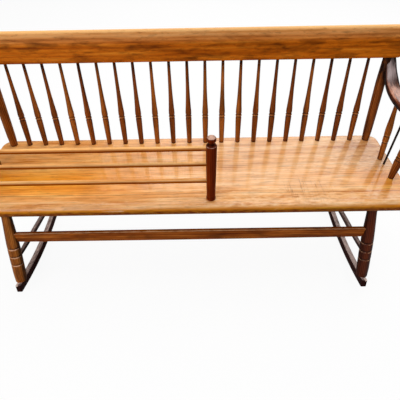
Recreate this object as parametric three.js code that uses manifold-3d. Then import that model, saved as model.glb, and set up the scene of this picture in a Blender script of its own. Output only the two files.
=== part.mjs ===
import * as THREE from 'three';
import { mergeVertices } from 'three/addons/utils/BufferGeometryUtils.js';
import Module from 'manifold-3d';

// A rocking bench with a spindle back, rolled arms and a guard rail that lifts out of the seat.
// Millimetres. X runs along the bench, Y to the back, Z up, and the rockers stand on Z = 0.

// Clearances
const fitGap = 0.3;
const guardGap = 0.5;
const cutOver = 4;
const weldStep = 0.001;

// The spindles set the bench's length: everything at its ends is placed from the stiles.
const spindleCount = 21;
const spindlePitch = 65.7;
const middleSpindle = (spindleCount - 1) / 2;
const stileX = spindlePitch * (middleSpindle + 1);

// Seat plank
const seatTop = 417;
const seatThick = 39.5;
const seatPastStile = 47.3;
const seatHalf = stileX + seatPastStile;
const seatFront = -234;
const seatBack = 179;
const seatCorner = 38;
const seatEdge = 5;
const seatRollDeep = 26;
const seatRollRise = 22;
const seatRollUnder = 10;
const rollLowShare = 0.5;
const rollHighShare = 0.25;

// Back: spindles, stiles and crest rail, all on one raked plane
const backFoot = 148.5;
const backRise = 319;
const backLean = 46.8;
const spindleRadius = 12.2;
const seatPlug = 20;
const crestPlug = 16;
const stileRadius = 17.1;
const stileTenonRadius = 8;
const crestHalf = seatHalf;
const crestTall = 107.5;
const crestThick = 25;
const crestCorner = 16;
const crestEdge = 3;
const crestTopRound = 10;

// Arms
const armPastStile = 18.3;
const armOut = stileX + armPastStile;
const armReach = [200, 166, 120, 70, 27, -14, -60, -108, -138, -152, -146];
const armRise = [308, 277, 245, 231, 226, 227, 231, 231, 220, 200, 182];
const armBow = [-1, -2, -3, -3, -2, 0, 3, 6, 7, 7, 7];
const armHalfWide = 29;
const armHalfThick = 12;
const armSteps = 20;
const armSides = 12;
const armPegRadius = 5;
const armPegLength = 24;
const armPegBelow = 12;
const armPegRise = armRise[0] - armPegBelow;
const armPlug = 13;
const armSpindlePastStile = 10.3;
const armSpindleX = stileX + armSpindlePastStile;
const armSpindleFoot = 14;
const armSpindleHead = 44;
const armSpindleRise = 214;
const armSpindleRadius = 11.7;
const armPostPastStile = 8.3;
const armPostSplay = 7;
const armPostX = stileX + armPostPastStile;
const armPostHeadX = armPostX + armPostSplay;
const armPostY = -98;
const armPostRise = 219;
const armPostRadius = 14.5;
const rodPastStile = 12.8;
const rodSplay = 5;
const rodX = stileX + rodPastStile;
const rodHeadX = rodX + rodSplay;
const rodY = -19;
const rodRise = 216;
const rodRadius = 3.8;

// Legs and rockers
const rockerInset = 51.7;
const rockerX = stileX - rockerInset;
const rockerRadius = 1250;
const rockerTall = 34;
const rockerThick = 20;
const rockerLow = 8;
const rockerFront = -314;
const rockerBack = 314;
const rockerFlat = 30;
const rockerNose = 12;
const noseLowShare = 0.34;
const noseHighShare = 0.72;
const noseSetShare = 0.25;
const rockerSteps = 20;
const frontLegInset = 75.7;
const rearLegInset = 110.7;
const frontLegTopX = stileX - frontLegInset;
const rearLegTopX = stileX - rearLegInset;
const frontLegTop = -191.5;
const frontLegFoot = -269;
const rearLegTop = 112;
const rearLegFoot = 182;
const legRadius = 22.5;
const legTenonRadius = 11;
const legTenonLength = 24;
const footTenonRadius = 5.2;
const footTenonLength = 21;
const legOver = 9;
const footBand = 80;

// Stretchers
const boardTall = 47;
const boardThick = 13;
const boardShoulderTall = 43;
const boardEndTall = 32;
const boardTaper = 26;
const boardTenonTall = 19;
const boardTenonThick = 9;
const boardTenonDeep = 9;
const boardEdge = 1.5;
const frontBoardRise = 264;
const rearBoardRise = 252;
const sideRodRadius = 10.5;
const sideRodPlug = 13;
const sideRodFrontShare = 0.695;
const sideRodRearShare = 0.84;

// Guard rail
const guardY = -193;
const guardSpan = 782;
const guardInset = 18.7;
const guardLeftX = guardInset - stileX;
const guardRightX = guardLeftX + guardSpan;
const guardPostRadius = 17;
const guardPostTall = 250;
const guardPinRadius = 8;
const guardPinLength = 22;
const guardRailRadius = 8.2;
const guardRailPlug = 9;
const guardRailRises = { top: 207.5, middle: 149, bottom: 80.5 };

// Turned outlines: share of the length from the foot, share of the largest radius
const spindleShares = [[0, 0.75], [0.28, 0.92], [0.338, 0.86], [0.353, 1], [0.368, 0.86], [0.395, 0.94],
  [0.48, 0.81], [0.68, 0.58], [1, 0.43]];
const stileShares = [[0, 0.8], [0.15, 0.93], [0.45, 0.98], [0.7, 1], [0.9, 0.88], [1, 0.8]];
const armSpindleShares = [[0, 0.78], [0.2, 0.88], [0.305, 0.91], [0.325, 0.8], [0.345, 0.94],
  [0.425, 0.96], [0.445, 0.82], [0.465, 0.98], [0.55, 1], [0.8, 0.72], [1, 0.52]];
const armPostShares = [[0, 0.68], [0.2, 0.9], [0.32, 1], [0.36, 0.86], [0.39, 1], [0.42, 0.86],
  [0.46, 0.97], [0.7, 0.82], [1, 0.62]];
const legShares = [[0, 0.72], [0.12, 0.76], [0.28, 0.87], [0.41, 0.95], [0.486, 0.98], [0.502, 0.86],
  [0.518, 0.99], [0.601, 1], [0.617, 0.87], [0.633, 1], [0.717, 1], [0.733, 0.87], [0.749, 0.99], [0.86, 0.99],
  [1, 0.9]];
const sideRodShares = [[0, 0.72], [0.2, 0.92], [0.5, 1], [0.8, 0.92], [1, 0.72]];
const guardRailShares = [[0, 0.95], [0.5, 1], [1, 0.95]];
const guardPostShares = [[0, 0.86], [0.012, 0.95], [0.03, 0.95], [0.042, 0.88], [0.5, 0.96], [0.866, 1],
  [0.878, 0.93], [0.888, 0.64], [0.915, 0.56], [0.93, 0.72], [0.945, 0.86], [0.972, 0.86], [0.99, 0.74],
  [1, 0.5]];
const plugShare = 0.94;

// Arm outline: share of the way to the front, share of the half width or half thickness
const armWideShares = [[0, 0.6], [0.1, 0.7], [0.2, 0.84], [0.35, 0.89], [0.5, 0.88], [0.75, 0.96],
  [0.9, 1], [1, 0.94]];
const armThickShares = [[0, 0.9], [0.3, 1], [0.9, 1], [1, 0.72]];
const armRoundShare = 0.5;

// Facets round each turned piece
const spindleSides = 8;
const stoutSides = 12;
const rodSides = 8;
const cornerSteps = 4;

// Colours, roughness and metalness
const finishes = {
  seat: [0xdfa060, 0.32, 0],
  crest: [0x9c5a24, 0.35, 0],
  spindle: [0x7d4522, 0.4, 0],
  arm: [0x5f3018, 0.3, 0],
  leg: [0x5c2c14, 0.42, 0],
  rocker: [0x38231a, 0.5, 0],
  stretcher: [0x74391b, 0.45, 0],
  guardPost: [0x55240c, 0.36, 0],
  guardRail: [0xd3975c, 0.36, 0],
  iron: [0x17130f, 0.6, 0.8],
};

const wasm = await Module();
wasm.setup();

// A closed mesh becomes a solid that can be cut and joined; a solid stays as it is.
function toSolid(geometry) {
  if (!geometry.isBufferGeometry) {
    return geometry;
  }
  const bare = geometry.clone();
  bare.deleteAttribute('normal');
  bare.deleteAttribute('uv');
  const welded = mergeVertices(bare, weldStep);
  return new wasm.Manifold(new wasm.Mesh({
    numProp: 3,
    vertProperties: Float32Array.from(welded.attributes.position.array),
    triVerts: Uint32Array.from(welded.index.array),
  }));
}

// A solid becomes a mesh again; a mesh stays as it is.
function toGeometry(solid) {
  if (solid.isBufferGeometry) {
    return solid;
  }
  const mesh = solid.getMesh();
  const geometry = new THREE.BufferGeometry();
  geometry.setAttribute('position', new THREE.BufferAttribute(mesh.vertProperties, 3));
  geometry.setIndex(new THREE.BufferAttribute(mesh.triVerts, 1));
  return geometry;
}

// Moves a shape from the bench's frame into the frame of one piece.
function inFrame(geometry, frame) {
  return geometry.clone().applyMatrix4(frame.clone().invert());
}

// Cuts shapes given in the bench's frame out of a piece given in its own frame.
function cutFrom(geometry, frame, cutters) {
  let solid = toSolid(geometry);
  for (const cutter of cutters) {
    solid = solid.subtract(toSolid(inFrame(cutter, frame)));
  }
  return solid;
}

// Joins shapes that are already in one frame.
function joined(shapes) {
  let solid = toSolid(shapes[0]);
  for (const shape of shapes.slice(1)) {
    solid = solid.add(toSolid(shape));
  }
  return solid;
}

// What two shapes share, as when a board is sawn to one outline and then to another.
function sharedBy(first, second) {
  return toSolid(first).intersect(toSolid(second));
}

// A turned solid on the Z axis from rows of [height, radius], closed on the axis.
function turned(rows, sides) {
  const points = rows.map(([height, radius]) => new THREE.Vector2(radius, height));
  points.unshift(new THREE.Vector2(0, rows[0][0]));
  points.push(new THREE.Vector2(0, rows[rows.length - 1][0]));
  return new THREE.LatheGeometry(points, sides).rotateX(Math.PI / 2);
}

// Rows of a turned outline in real sizes.
function rowsFrom(shares, length, radius) {
  return shares.map(([along, wide]) => [along * length, wide * radius]);
}

// The same rows with air around them, to cut the room that the piece needs.
function grown(rows, gap) {
  const last = rows.length - 1;
  return rows.map(([height, radius], i) => {
    const ends = (i === last ? gap : 0) - (i === 0 ? gap : 0);
    return [height + ends, radius + gap];
  });
}

// The frame of a turned piece: its foot at one point and its Z axis towards another.
function frameAlong(from, to) {
  const turn = new THREE.Quaternion();
  turn.setFromUnitVectors(new THREE.Vector3(0, 0, 1), to.clone().sub(from).normalize());
  return new THREE.Matrix4().compose(from, turn, new THREE.Vector3(1, 1, 1));
}

function frameAt(x, y, z) {
  return new THREE.Matrix4().makeTranslation(x, y, z);
}

// A plug with room round it, from below the foot to just past the surface that it enters.
function plugRoom(frame, depth, radius, sides, gap = fitGap) {
  const rows = [[-depth - gap, radius * plugShare + gap], [cutOver, radius + gap]];
  return turned(rows, sides).applyMatrix4(frame);
}

// The same at the far end of a piece.
function headRoom(frame, length, depth, radius, sides, gap = fitGap) {
  const rows = [[length - cutOver, radius + gap], [length + depth + gap, radius * plugShare + gap]];
  return turned(rows, sides).applyMatrix4(frame);
}

// Turns a profile drawn in Y and Z so that it is drawn out along X.
function alongX(geometry) {
  const axes = new THREE.Matrix4().makeBasis(
    new THREE.Vector3(0, 1, 0), new THREE.Vector3(0, 0, 1), new THREE.Vector3(1, 0, 0));
  return geometry.applyMatrix4(axes);
}

function drawnOut(shape, depth, options = {}) {
  const settings = { depth, bevelEnabled: false, curveSegments: cornerSteps, ...options };
  return new THREE.ExtrudeGeometry(shape, settings);
}

// A rectangle with round corners, from its middle line to both sides.
function roundRectangle(half, low, high, corner) {
  const shape = new THREE.Shape();
  shape.moveTo(half - corner, low);
  shape.absarc(half - corner, low + corner, corner, -Math.PI / 2, 0);
  shape.absarc(half - corner, high - corner, corner, 0, Math.PI / 2);
  shape.absarc(-half + corner, high - corner, corner, Math.PI / 2, Math.PI);
  shape.absarc(-half + corner, low + corner, corner, Math.PI, Math.PI * 1.5);
  return shape;
}

// A plank with its outline and a small round on every edge, from z = 0 up to its thickness.
function edgedPlank(shape, thick, edge) {
  return drawnOut(shape, thick - edge * 2, {
    bevelEnabled: true, bevelThickness: edge, bevelSize: edge, bevelOffset: -edge, bevelSegments: 1,
  }).translate(0, 0, edge);
}

// Value at one share of a table of [share, value] rows.
function valueAt(table, share) {
  let i = 1;
  while (i < table.length - 1 && table[i][0] < share) {
    i += 1;
  }
  const [from, low] = table[i - 1];
  const [to, high] = table[i];
  return low + (high - low) * (share - from) / (to - from);
}

// A skin over rings of points, closed by a flat face at both ends.
function lofted(rings) {
  const count = rings[0].length;
  const faces = [];
  for (let i = 0; i + 1 < rings.length; i += 1) {
    for (let j = 0; j < count; j += 1) {
      const here = i * count + j;
      const next = i * count + (j + 1) % count;
      faces.push(here, next, next + count, here, next + count, here + count);
    }
  }
  const last = (rings.length - 1) * count;
  for (let j = 1; j + 1 < count; j += 1) {
    faces.push(0, j + 1, j, last, last + j, last + j + 1);
  }
  const geometry = new THREE.BufferGeometry().setFromPoints(rings.flat());
  geometry.setIndex(faces);
  return geometry;
}

// Seat: the plan outline and the rolled front section share one plank.
function seatSection() {
  const section = new THREE.Shape();
  section.moveTo(seatBack + cutOver, -seatThick - cutOver);
  section.lineTo(seatFront + seatRollUnder, -seatThick - cutOver);
  section.lineTo(seatFront + seatRollUnder, -seatThick);
  section.quadraticCurveTo(seatFront, -seatThick, seatFront, -seatRollRise);
  const low = seatRollRise * rollLowShare;
  const deep = seatRollDeep * rollHighShare;
  section.bezierCurveTo(seatFront, -low, seatFront + deep, 0, seatFront + seatRollDeep, 0);
  section.lineTo(seatFront + seatRollDeep, cutOver);
  section.lineTo(seatBack + cutOver, cutOver);
  return section;
}

function seatBlank() {
  const plan = roundRectangle(seatHalf, seatFront, seatBack, seatCorner);
  const plank = edgedPlank(plan, seatThick, seatEdge).translate(0, 0, -seatThick);
  const length = (seatHalf + cutOver) * 2;
  const roll = alongX(drawnOut(seatSection(), length)).translate(-length / 2, 0, 0);
  return sharedBy(plank, roll);
}

// Back spindles and stiles stand on one line and lean with the crest rail.
const backLength = Math.hypot(backRise, backLean);
const backAngle = Math.atan2(backLean, backRise);

function backFrame(x) {
  const foot = new THREE.Vector3(x, backFoot, seatTop);
  const head = new THREE.Vector3(x, backFoot + backLean, seatTop + backRise);
  return frameAlong(foot, head);
}

function stileFrame(side) {
  return backFrame(side * stileX);
}

function spindleFrame(i) {
  return backFrame((i - middleSpindle) * spindlePitch);
}

// A piece whose ends go into their sockets at full width, without a shoulder.
function pluggedRows(shares, length, radius, footPlug, headPlug) {
  const rows = rowsFrom(shares, length, radius);
  const headRadius = rows[rows.length - 1][1];
  rows.unshift([-footPlug, rows[0][1] * plugShare]);
  rows.push([length + headPlug, headRadius * plugShare]);
  return rows;
}

const spindleRows = pluggedRows(spindleShares, backLength, spindleRadius, seatPlug, crestPlug);
const spindleFootRadius = spindleShares[0][1] * spindleRadius;
const spindleHeadRadius = spindleShares[spindleShares.length - 1][1] * spindleRadius;

// The stile has a shoulder under the crest rail and a narrower tenon in it.
function stileRows() {
  const rows = rowsFrom(stileShares, backLength - fitGap, stileRadius);
  rows.unshift([-seatPlug, rows[0][1] * plugShare]);
  rows.push([backLength - fitGap, stileTenonRadius], [backLength + crestPlug, stileTenonRadius]);
  return rows;
}

const stileFootRadius = stileShares[0][1] * stileRadius;

function stileTenonRoom(side) {
  const rows = [[backLength - cutOver, stileTenonRadius], [backLength + crestPlug, stileTenonRadius]];
  return turned(grown(rows, fitGap), stoutSides).applyMatrix4(stileFrame(side));
}

// Crest rail: a face outline with round corners and a section with a rounded top.
function crestSection() {
  const half = crestThick / 2;
  const section = new THREE.Shape();
  section.moveTo(-half, -cutOver);
  section.lineTo(half, -cutOver);
  section.lineTo(half, crestTall - crestTopRound);
  section.quadraticCurveTo(half, crestTall, 0, crestTall);
  section.quadraticCurveTo(-half, crestTall, -half, crestTall - crestTopRound);
  return section;
}

function crestBlank() {
  const face = roundRectangle(crestHalf, 0, crestTall, crestCorner);
  const board = edgedPlank(face, crestThick, crestEdge).rotateX(Math.PI / 2).translate(0, crestThick / 2, 0);
  const length = (crestHalf + cutOver) * 2;
  const bar = alongX(drawnOut(crestSection(), length)).translate(-length / 2, 0, 0);
  return sharedBy(board, bar);
}

function crestFrame() {
  const turn = new THREE.Matrix4().makeRotationX(-backAngle);
  return turn.setPosition(0, backFoot + backLean, seatTop + backRise);
}

// Arm: a rounded bar that widens to the front, swept down from the stile and rolled over at its end.
function armRing(curve, share) {
  const middle = curve.getPointAt(share);
  const ahead = curve.getTangentAt(share).setX(0).normalize();
  const across = new THREE.Vector3(1, 0, 0);
  const up = new THREE.Vector3().crossVectors(ahead, across);
  const wide = valueAt(armWideShares, share) * armHalfWide;
  const thick = valueAt(armThickShares, share) * armHalfThick;
  const ring = [];
  for (let j = 0; j < armSides; j += 1) {
    const angle = (j + 0.5) / armSides * Math.PI * 2;
    const x = Math.sign(Math.cos(angle)) * Math.abs(Math.cos(angle)) ** armRoundShare * wide;
    const z = Math.sign(Math.sin(angle)) * Math.abs(Math.sin(angle)) ** armRoundShare * thick;
    ring.push(middle.clone().addScaledVector(across, x).addScaledVector(up, z));
  }
  return ring;
}

function armBlank(side) {
  const curve = new THREE.CatmullRomCurve3(armReach.map(
    (y, i) => new THREE.Vector3(side * (armOut + armBow[i]), y, seatTop + armRise[i])));
  const rings = [];
  for (let i = 0; i <= armSteps; i += 1) {
    rings.push(armRing(curve, i / armSteps));
  }
  return lofted(rings);
}

// The peg that holds the arm's end to the outside of the stile.
function armPeg(side, gap) {
  const share = armPegRise / backRise;
  const inner = new THREE.Vector3(side * stileX, backFoot + backLean * share, 0);
  inner.z = seatTop + armPegRise;
  const outer = inner.clone().setX(side * armOut);
  const rows = [[-gap, armPegRadius + gap], [armPegLength, armPegRadius + gap]];
  return turned(rows, rodSides).applyMatrix4(frameAlong(inner, outer));
}

function stileRoom(side) {
  return turned(grown(stileRows(), fitGap), stoutSides).applyMatrix4(stileFrame(side));
}

// What stands under an arm, each as its foot, head, outline and radius.
function underArm(side) {
  const stand = (x, y, headX, headY, rise, shares, radius, sides, plug) => {
    const foot = new THREE.Vector3(side * x, y, seatTop);
    const head = new THREE.Vector3(side * headX, headY, seatTop + rise);
    const length = foot.distanceTo(head);
    const rows = pluggedRows(shares, length, radius, plug, armPlug);
    return { frame: frameAlong(foot, head), length, rows, shares, radius, sides, plug };
  };
  return {
    spindle: stand(armSpindleX, armSpindleFoot, armSpindleX, armSpindleHead, armSpindleRise,
      armSpindleShares, armSpindleRadius, spindleSides, seatPlug),
    post: stand(armPostX, armPostY, armPostHeadX, armPostY, armPostRise,
      armPostShares, armPostRadius, stoutSides, seatPlug),
    rod: stand(rodX, rodY, rodHeadX, rodY, rodRise, [[0, 1], [1, 1]], rodRadius, rodSides, seatPlug),
  };
}

function standRooms(stand) {
  const footRadius = stand.shares[0][1] * stand.radius;
  const headRadius = stand.shares[stand.shares.length - 1][1] * stand.radius;
  return {
    foot: plugRoom(stand.frame, stand.plug, footRadius, stand.sides),
    head: turned(grown(stand.rows, fitGap), stand.sides).applyMatrix4(stand.frame),
    headRadius,
  };
}

// Rocker: a bent board whose lower edge has a short flat where the bench comes to rest.
const rockerCentre = Math.sqrt(rockerRadius ** 2 - (rockerFlat / 2) ** 2);

function rockerPoint(radius, y) {
  const along = y - rockerLow;
  return new THREE.Vector2(y, rockerCentre - Math.sqrt(radius ** 2 - along ** 2));
}

function rockerShape(front, back, tall, nose) {
  const shape = new THREE.Shape();
  const low = [];
  const high = [];
  for (let i = 0; i <= rockerSteps; i += 1) {
    const share = i / rockerSteps;
    const ahead = rockerLow - rockerFlat / 2;
    const behind = rockerLow + rockerFlat / 2;
    low.push(share <= 0.5 ? front + nose + (ahead - front - nose) * share * 2
      : behind + (back - nose - behind) * (share - 0.5) * 2);
    high.push(back - nose - (back - front - nose * 2) * share);
  }
  low.splice(rockerSteps / 2 + 1, 0, rockerLow + rockerFlat / 2);
  const points = low.map((y) => rockerPoint(rockerRadius, y));
  const set = nose * noseSetShare;
  points.push(rockerPoint(rockerRadius - tall * noseLowShare, back));
  points.push(rockerPoint(rockerRadius - tall * noseHighShare, back - set));
  points.push(...high.map((y) => rockerPoint(rockerRadius - tall, y)));
  points.push(rockerPoint(rockerRadius - tall * noseHighShare, front + set));
  points.push(rockerPoint(rockerRadius - tall * noseLowShare, front));
  shape.setFromPoints(points);
  return shape;
}

function rockerBlank() {
  const shape = rockerShape(rockerFront, rockerBack, rockerTall, rockerNose);
  return alongX(drawnOut(shape, rockerThick)).translate(-rockerThick / 2, 0, 0);
}

// The rocker's upper surface as a wide band, to cut each leg's foot to it.
function footCutter(side) {
  const points = [new THREE.Vector2(rockerFront, -footBand), new THREE.Vector2(rockerBack, -footBand)];
  for (let i = 0; i <= rockerSteps; i += 1) {
    const y = rockerBack - (rockerBack - rockerFront) * i / rockerSteps;
    points.push(rockerPoint(rockerRadius - rockerTall - fitGap, y));
  }
  const band = alongX(drawnOut(new THREE.Shape(points), footBand));
  return band.translate(side * rockerX - footBand / 2, 0, 0);
}

function seatCutter() {
  const size = footBand * 2;
  return new THREE.BoxGeometry(seatHalf * 2, (seatBack - seatFront) * 2, size)
    .translate(0, 0, seatTop - seatThick - fitGap + size / 2);
}

// Legs: splayed turnings, cut to the seat above and to the rocker below, with a tenon at each end.
function legLine(side, topX, topY, footY) {
  const top = new THREE.Vector3(side * topX, topY, seatTop - seatThick);
  const foot = rockerPoint(rockerRadius - rockerTall, footY);
  const base = new THREE.Vector3(side * rockerX, footY, foot.y);
  return { top, base, length: top.distanceTo(base), frame: frameAlong(top, base) };
}

function legRows(line) {
  const rows = rowsFrom(legShares, line.length, legRadius);
  rows.unshift([-legOver, rows[0][1]]);
  rows.push([line.length + legOver, rows[rows.length - 1][1]]);
  return rows;
}

function legTenons(line, gap) {
  const high = [[-legTenonLength, legTenonRadius], [legOver, legTenonRadius]];
  const low = [[line.length - legOver, footTenonRadius], [line.length + footTenonLength, footTenonRadius]];
  return [high, low].map((rows) => turned(gap ? grown(rows, gap) : rows, stoutSides));
}

function legShape(line, side, cutters) {
  const body = cutFrom(turned(legRows(line), stoutSides), line.frame, [seatCutter(), footCutter(side)]);
  return cutFrom(joined([body, ...legTenons(line, 0)]), line.frame, cutters);
}

function legTenonRooms(line) {
  return legTenons(line, fitGap).map((shape) => shape.applyMatrix4(line.frame));
}

function legPoint(line, share) {
  return line.top.clone().lerp(line.base, share);
}

function shareAtRise(line, rise) {
  return (line.top.z - rise) / (line.top.z - line.base.z);
}

// Long stretchers: flat boards, deepest in the middle, that taper to square tenons in the legs.
function boardOutline(half) {
  const shape = new THREE.Shape();
  const swell = boardTall - boardShoulderTall / 2;
  const shoulder = boardShoulderTall / 2;
  const end = boardEndTall / 2;
  shape.moveTo(-half, -end);
  shape.lineTo(-half + boardTaper, -shoulder);
  shape.quadraticCurveTo(0, -swell, half - boardTaper, -shoulder);
  shape.lineTo(half, -end);
  shape.lineTo(half, end);
  shape.lineTo(half - boardTaper, shoulder);
  shape.quadraticCurveTo(0, swell, -half + boardTaper, shoulder);
  shape.lineTo(-half, end);
  return shape;
}

function boardTenons(legX, gap) {
  const half = legX + boardTenonDeep + gap;
  return new THREE.BoxGeometry(half * 2, boardTenonThick + gap * 2, boardTenonTall + gap * 2);
}

function boardBetween(left, right, rise) {
  const middle = legPoint(right, shareAtRise(right, rise));
  const frame = frameAt(0, middle.y, rise);
  const face = edgedPlank(boardOutline(middle.x), boardThick, boardEdge);
  const blank = face.rotateX(Math.PI / 2).translate(0, boardThick / 2, 0);
  const rooms = [left, right].map((line) => {
    const room = turned(grown(legRows(line), fitGap), stoutSides);
    return room.applyMatrix4(line.frame);
  });
  const board = joined([cutFrom(blank, frame, rooms), boardTenons(middle.x, 0)]);
  return { frame, board, room: boardTenons(middle.x, fitGap).applyMatrix4(frame) };
}

// Side stretchers: slim turnings whose ends go into the legs at full width.
function sideRod(front, rear) {
  const from = legPoint(front, sideRodFrontShare);
  const to = legPoint(rear, sideRodRearShare);
  const ahead = to.clone().sub(from).normalize();
  const frontSkin = valueAt(legShares, sideRodFrontShare) * legRadius;
  const rearSkin = valueAt(legShares, sideRodRearShare) * legRadius;
  from.addScaledVector(ahead, frontSkin);
  to.addScaledVector(ahead, -rearSkin);
  const length = from.distanceTo(to);
  const rows = pluggedRows(sideRodShares, length, sideRodRadius, sideRodPlug, sideRodPlug);
  const frame = frameAlong(from, to);
  return { frame, rows, room: turned(grown(rows, fitGap), spindleSides).applyMatrix4(frame) };
}

// Guard: two turned posts with button finials, three rails, and pins that drop into the seat.
function guardFrame(x) {
  return frameAt(x, guardY, seatTop + fitGap);
}

function guardPostRows() {
  const rows = rowsFrom(guardPostShares, guardPostTall, guardPostRadius);
  return [[-guardPinLength, guardPinRadius * plugShare], [0, guardPinRadius], ...rows];
}

function guardPinRoom(x) {
  const rows = [[-guardPinLength, guardPinRadius], [cutOver, guardPinRadius]];
  return turned(grown(rows, guardGap), stoutSides).applyMatrix4(guardFrame(x));
}

function guardRailAt(rise) {
  const from = new THREE.Vector3(guardLeftX + guardPostRadius - guardRailPlug / 2, guardY, seatTop + rise);
  const to = from.clone().setX(guardRightX - guardPostRadius + guardRailPlug / 2);
  const length = from.distanceTo(to);
  const rows = pluggedRows(guardRailShares, length, guardRailRadius, guardRailPlug / 2, guardRailPlug / 2);
  const frame = frameAlong(from, to);
  return { frame, rows, room: turned(grown(rows, fitGap), spindleSides).applyMatrix4(frame) };
}

function finishOf(name) {
  const [color, roughness, metalness] = finishes[name];
  return new THREE.MeshStandardMaterial({ color, roughness, metalness });
}

function addPiece(group, name, shape, finish, frame) {
  const mesh = new THREE.Mesh(toGeometry(shape), finishOf(finish));
  mesh.name = name;
  mesh.applyMatrix4(frame);
  group.add(mesh);
}

function groupNamed(parent, name) {
  const group = new THREE.Group();
  group.name = name;
  parent.add(group);
  return group;
}

const sides = { left: -1, right: 1 };

function addGuard(bench) {
  const guard = groupNamed(bench, 'guard');
  const rails = {};
  for (const [place, rise] of Object.entries(guardRailRises)) {
    const rail = guardRailAt(rise);
    rails[place] = rail;
    addPiece(guard, `guard_rail_${place}`, turned(rail.rows, spindleSides), 'guardRail', rail.frame);
  }
  const rooms = Object.values(rails).map((rail) => rail.room);
  for (const [place, x] of [['left', guardLeftX], ['right', guardRightX]]) {
    const post = cutFrom(turned(guardPostRows(), stoutSides), guardFrame(x), rooms);
    addPiece(guard, `guard_post_${place}`, post, 'guardPost', guardFrame(x));
  }
}

function addBack(bench) {
  const back = groupNamed(bench, 'back');
  const rooms = [];
  for (let i = 0; i < spindleCount; i += 1) {
    const frame = spindleFrame(i);
    const number = String(i + 1).padStart(2, '0');
    addPiece(back, `back_spindle_${number}`, turned(spindleRows, spindleSides), 'spindle', frame);
    rooms.push(headRoom(frame, backLength, crestPlug, spindleHeadRadius, spindleSides));
  }
  for (const [place, side] of Object.entries(sides)) {
    const frame = stileFrame(side);
    const stile = cutFrom(turned(stileRows(), stoutSides), frame, [armPeg(side, fitGap)]);
    addPiece(back, `back_stile_${place}`, stile, 'spindle', frame);
    rooms.push(stileTenonRoom(side));
  }
  addPiece(back, 'crest_rail', cutFrom(crestBlank(), crestFrame(), rooms), 'crest', crestFrame());
}

function addArms(bench) {
  const arms = groupNamed(bench, 'arms');
  const seatRooms = [];
  for (const [place, side] of Object.entries(sides)) {
    const stands = underArm(side);
    const kept = side > 0 ? ['spindle', 'post', 'rod'] : ['spindle', 'post'];
    const heads = [];
    for (const kind of kept) {
      const stand = stands[kind];
      const rooms = standRooms(stand);
      const name = kind === 'rod' ? `arm_brace_rod_${place}` : `arm_${kind}_${place}`;
      addPiece(arms, name, turned(stand.rows, stand.sides), kind === 'rod' ? 'iron' : 'spindle', stand.frame);
      heads.push(rooms.head);
      seatRooms.push(rooms.foot);
    }
    const frame = frameAt(side * armOut, 0, seatTop);
    const coped = cutFrom(inFrame(armBlank(side), frame), frame, [stileRoom(side), ...heads]);
    addPiece(arms, `arm_${place}`, joined([coped, inFrame(armPeg(side, 0), frame)]), 'arm', frame);
  }
  return seatRooms;
}

function addBase(bench) {
  const base = groupNamed(bench, 'base');
  const lines = {};
  for (const [place, side] of Object.entries(sides)) {
    lines[place] = {
      front: legLine(side, frontLegTopX, frontLegTop, frontLegFoot),
      rear: legLine(side, rearLegTopX, rearLegTop, rearLegFoot),
    };
  }
  const boards = {
    front: boardBetween(lines.left.front, lines.right.front, frontBoardRise),
    rear: boardBetween(lines.left.rear, lines.right.rear, rearBoardRise),
  };
  const seatRooms = [];
  for (const [place, side] of Object.entries(sides)) {
    const rod = sideRod(lines[place].front, lines[place].rear);
    addPiece(base, `side_stretcher_${place}`, turned(rod.rows, spindleSides), 'stretcher', rod.frame);
    const rockerRooms = [];
    for (const end of ['front', 'rear']) {
      const line = lines[place][end];
      const leg = legShape(line, side, [boards[end].room, rod.room]);
      addPiece(base, `leg_${end}_${place}`, leg, 'leg', line.frame);
      const [high, low] = legTenonRooms(line);
      seatRooms.push(high);
      rockerRooms.push(low);
    }
    const frame = frameAt(side * rockerX, 0, 0);
    addPiece(base, `rocker_${place}`, cutFrom(rockerBlank(), frame, rockerRooms), 'rocker', frame);
  }
  for (const end of ['front', 'rear']) {
    addPiece(base, `${end}_stretcher`, boards[end].board, 'stretcher', boards[end].frame);
  }
  return seatRooms;
}

function addSeat(bench, rooms) {
  const frame = frameAt(0, 0, seatTop);
  for (let i = 0; i < spindleCount; i += 1) {
    rooms.push(plugRoom(spindleFrame(i), seatPlug, spindleFootRadius, spindleSides));
  }
  for (const side of Object.values(sides)) {
    rooms.push(plugRoom(stileFrame(side), seatPlug, stileFootRadius, stoutSides));
  }
  rooms.push(guardPinRoom(guardLeftX), guardPinRoom(guardRightX));
  addPiece(bench, 'seat_plank', cutFrom(seatBlank(), frame, rooms), 'seat', frame);
}

const bench = new THREE.Group();
bench.name = 'rocking_bench';
addBack(bench);
const armRooms = addArms(bench);
const legRooms = addBase(bench);
addSeat(bench, [...armRooms, ...legRooms]);
addGuard(bench);

export default bench;
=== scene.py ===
"""Looks of a long rocking bench with a spindle back, rolled arms and a guard that lifts out.

Metres. X runs along the bench, Y to its back, Z up, and the rockers stand on Z = 0.
Every piece is a skin over rings of points worked out as whole arrays. Each point also carries where it lies
in its own timber, so that the figure of the wood runs along the piece, how worn it is and how much painted
highlight lies on it, how grimed it is and how much painted shade lies on it, and its tone, which on some pieces
is painted light: a lit top, a sheen or a shaded side.
"""

import math

import bpy
import numpy as np
from mathutils import Matrix


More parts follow.
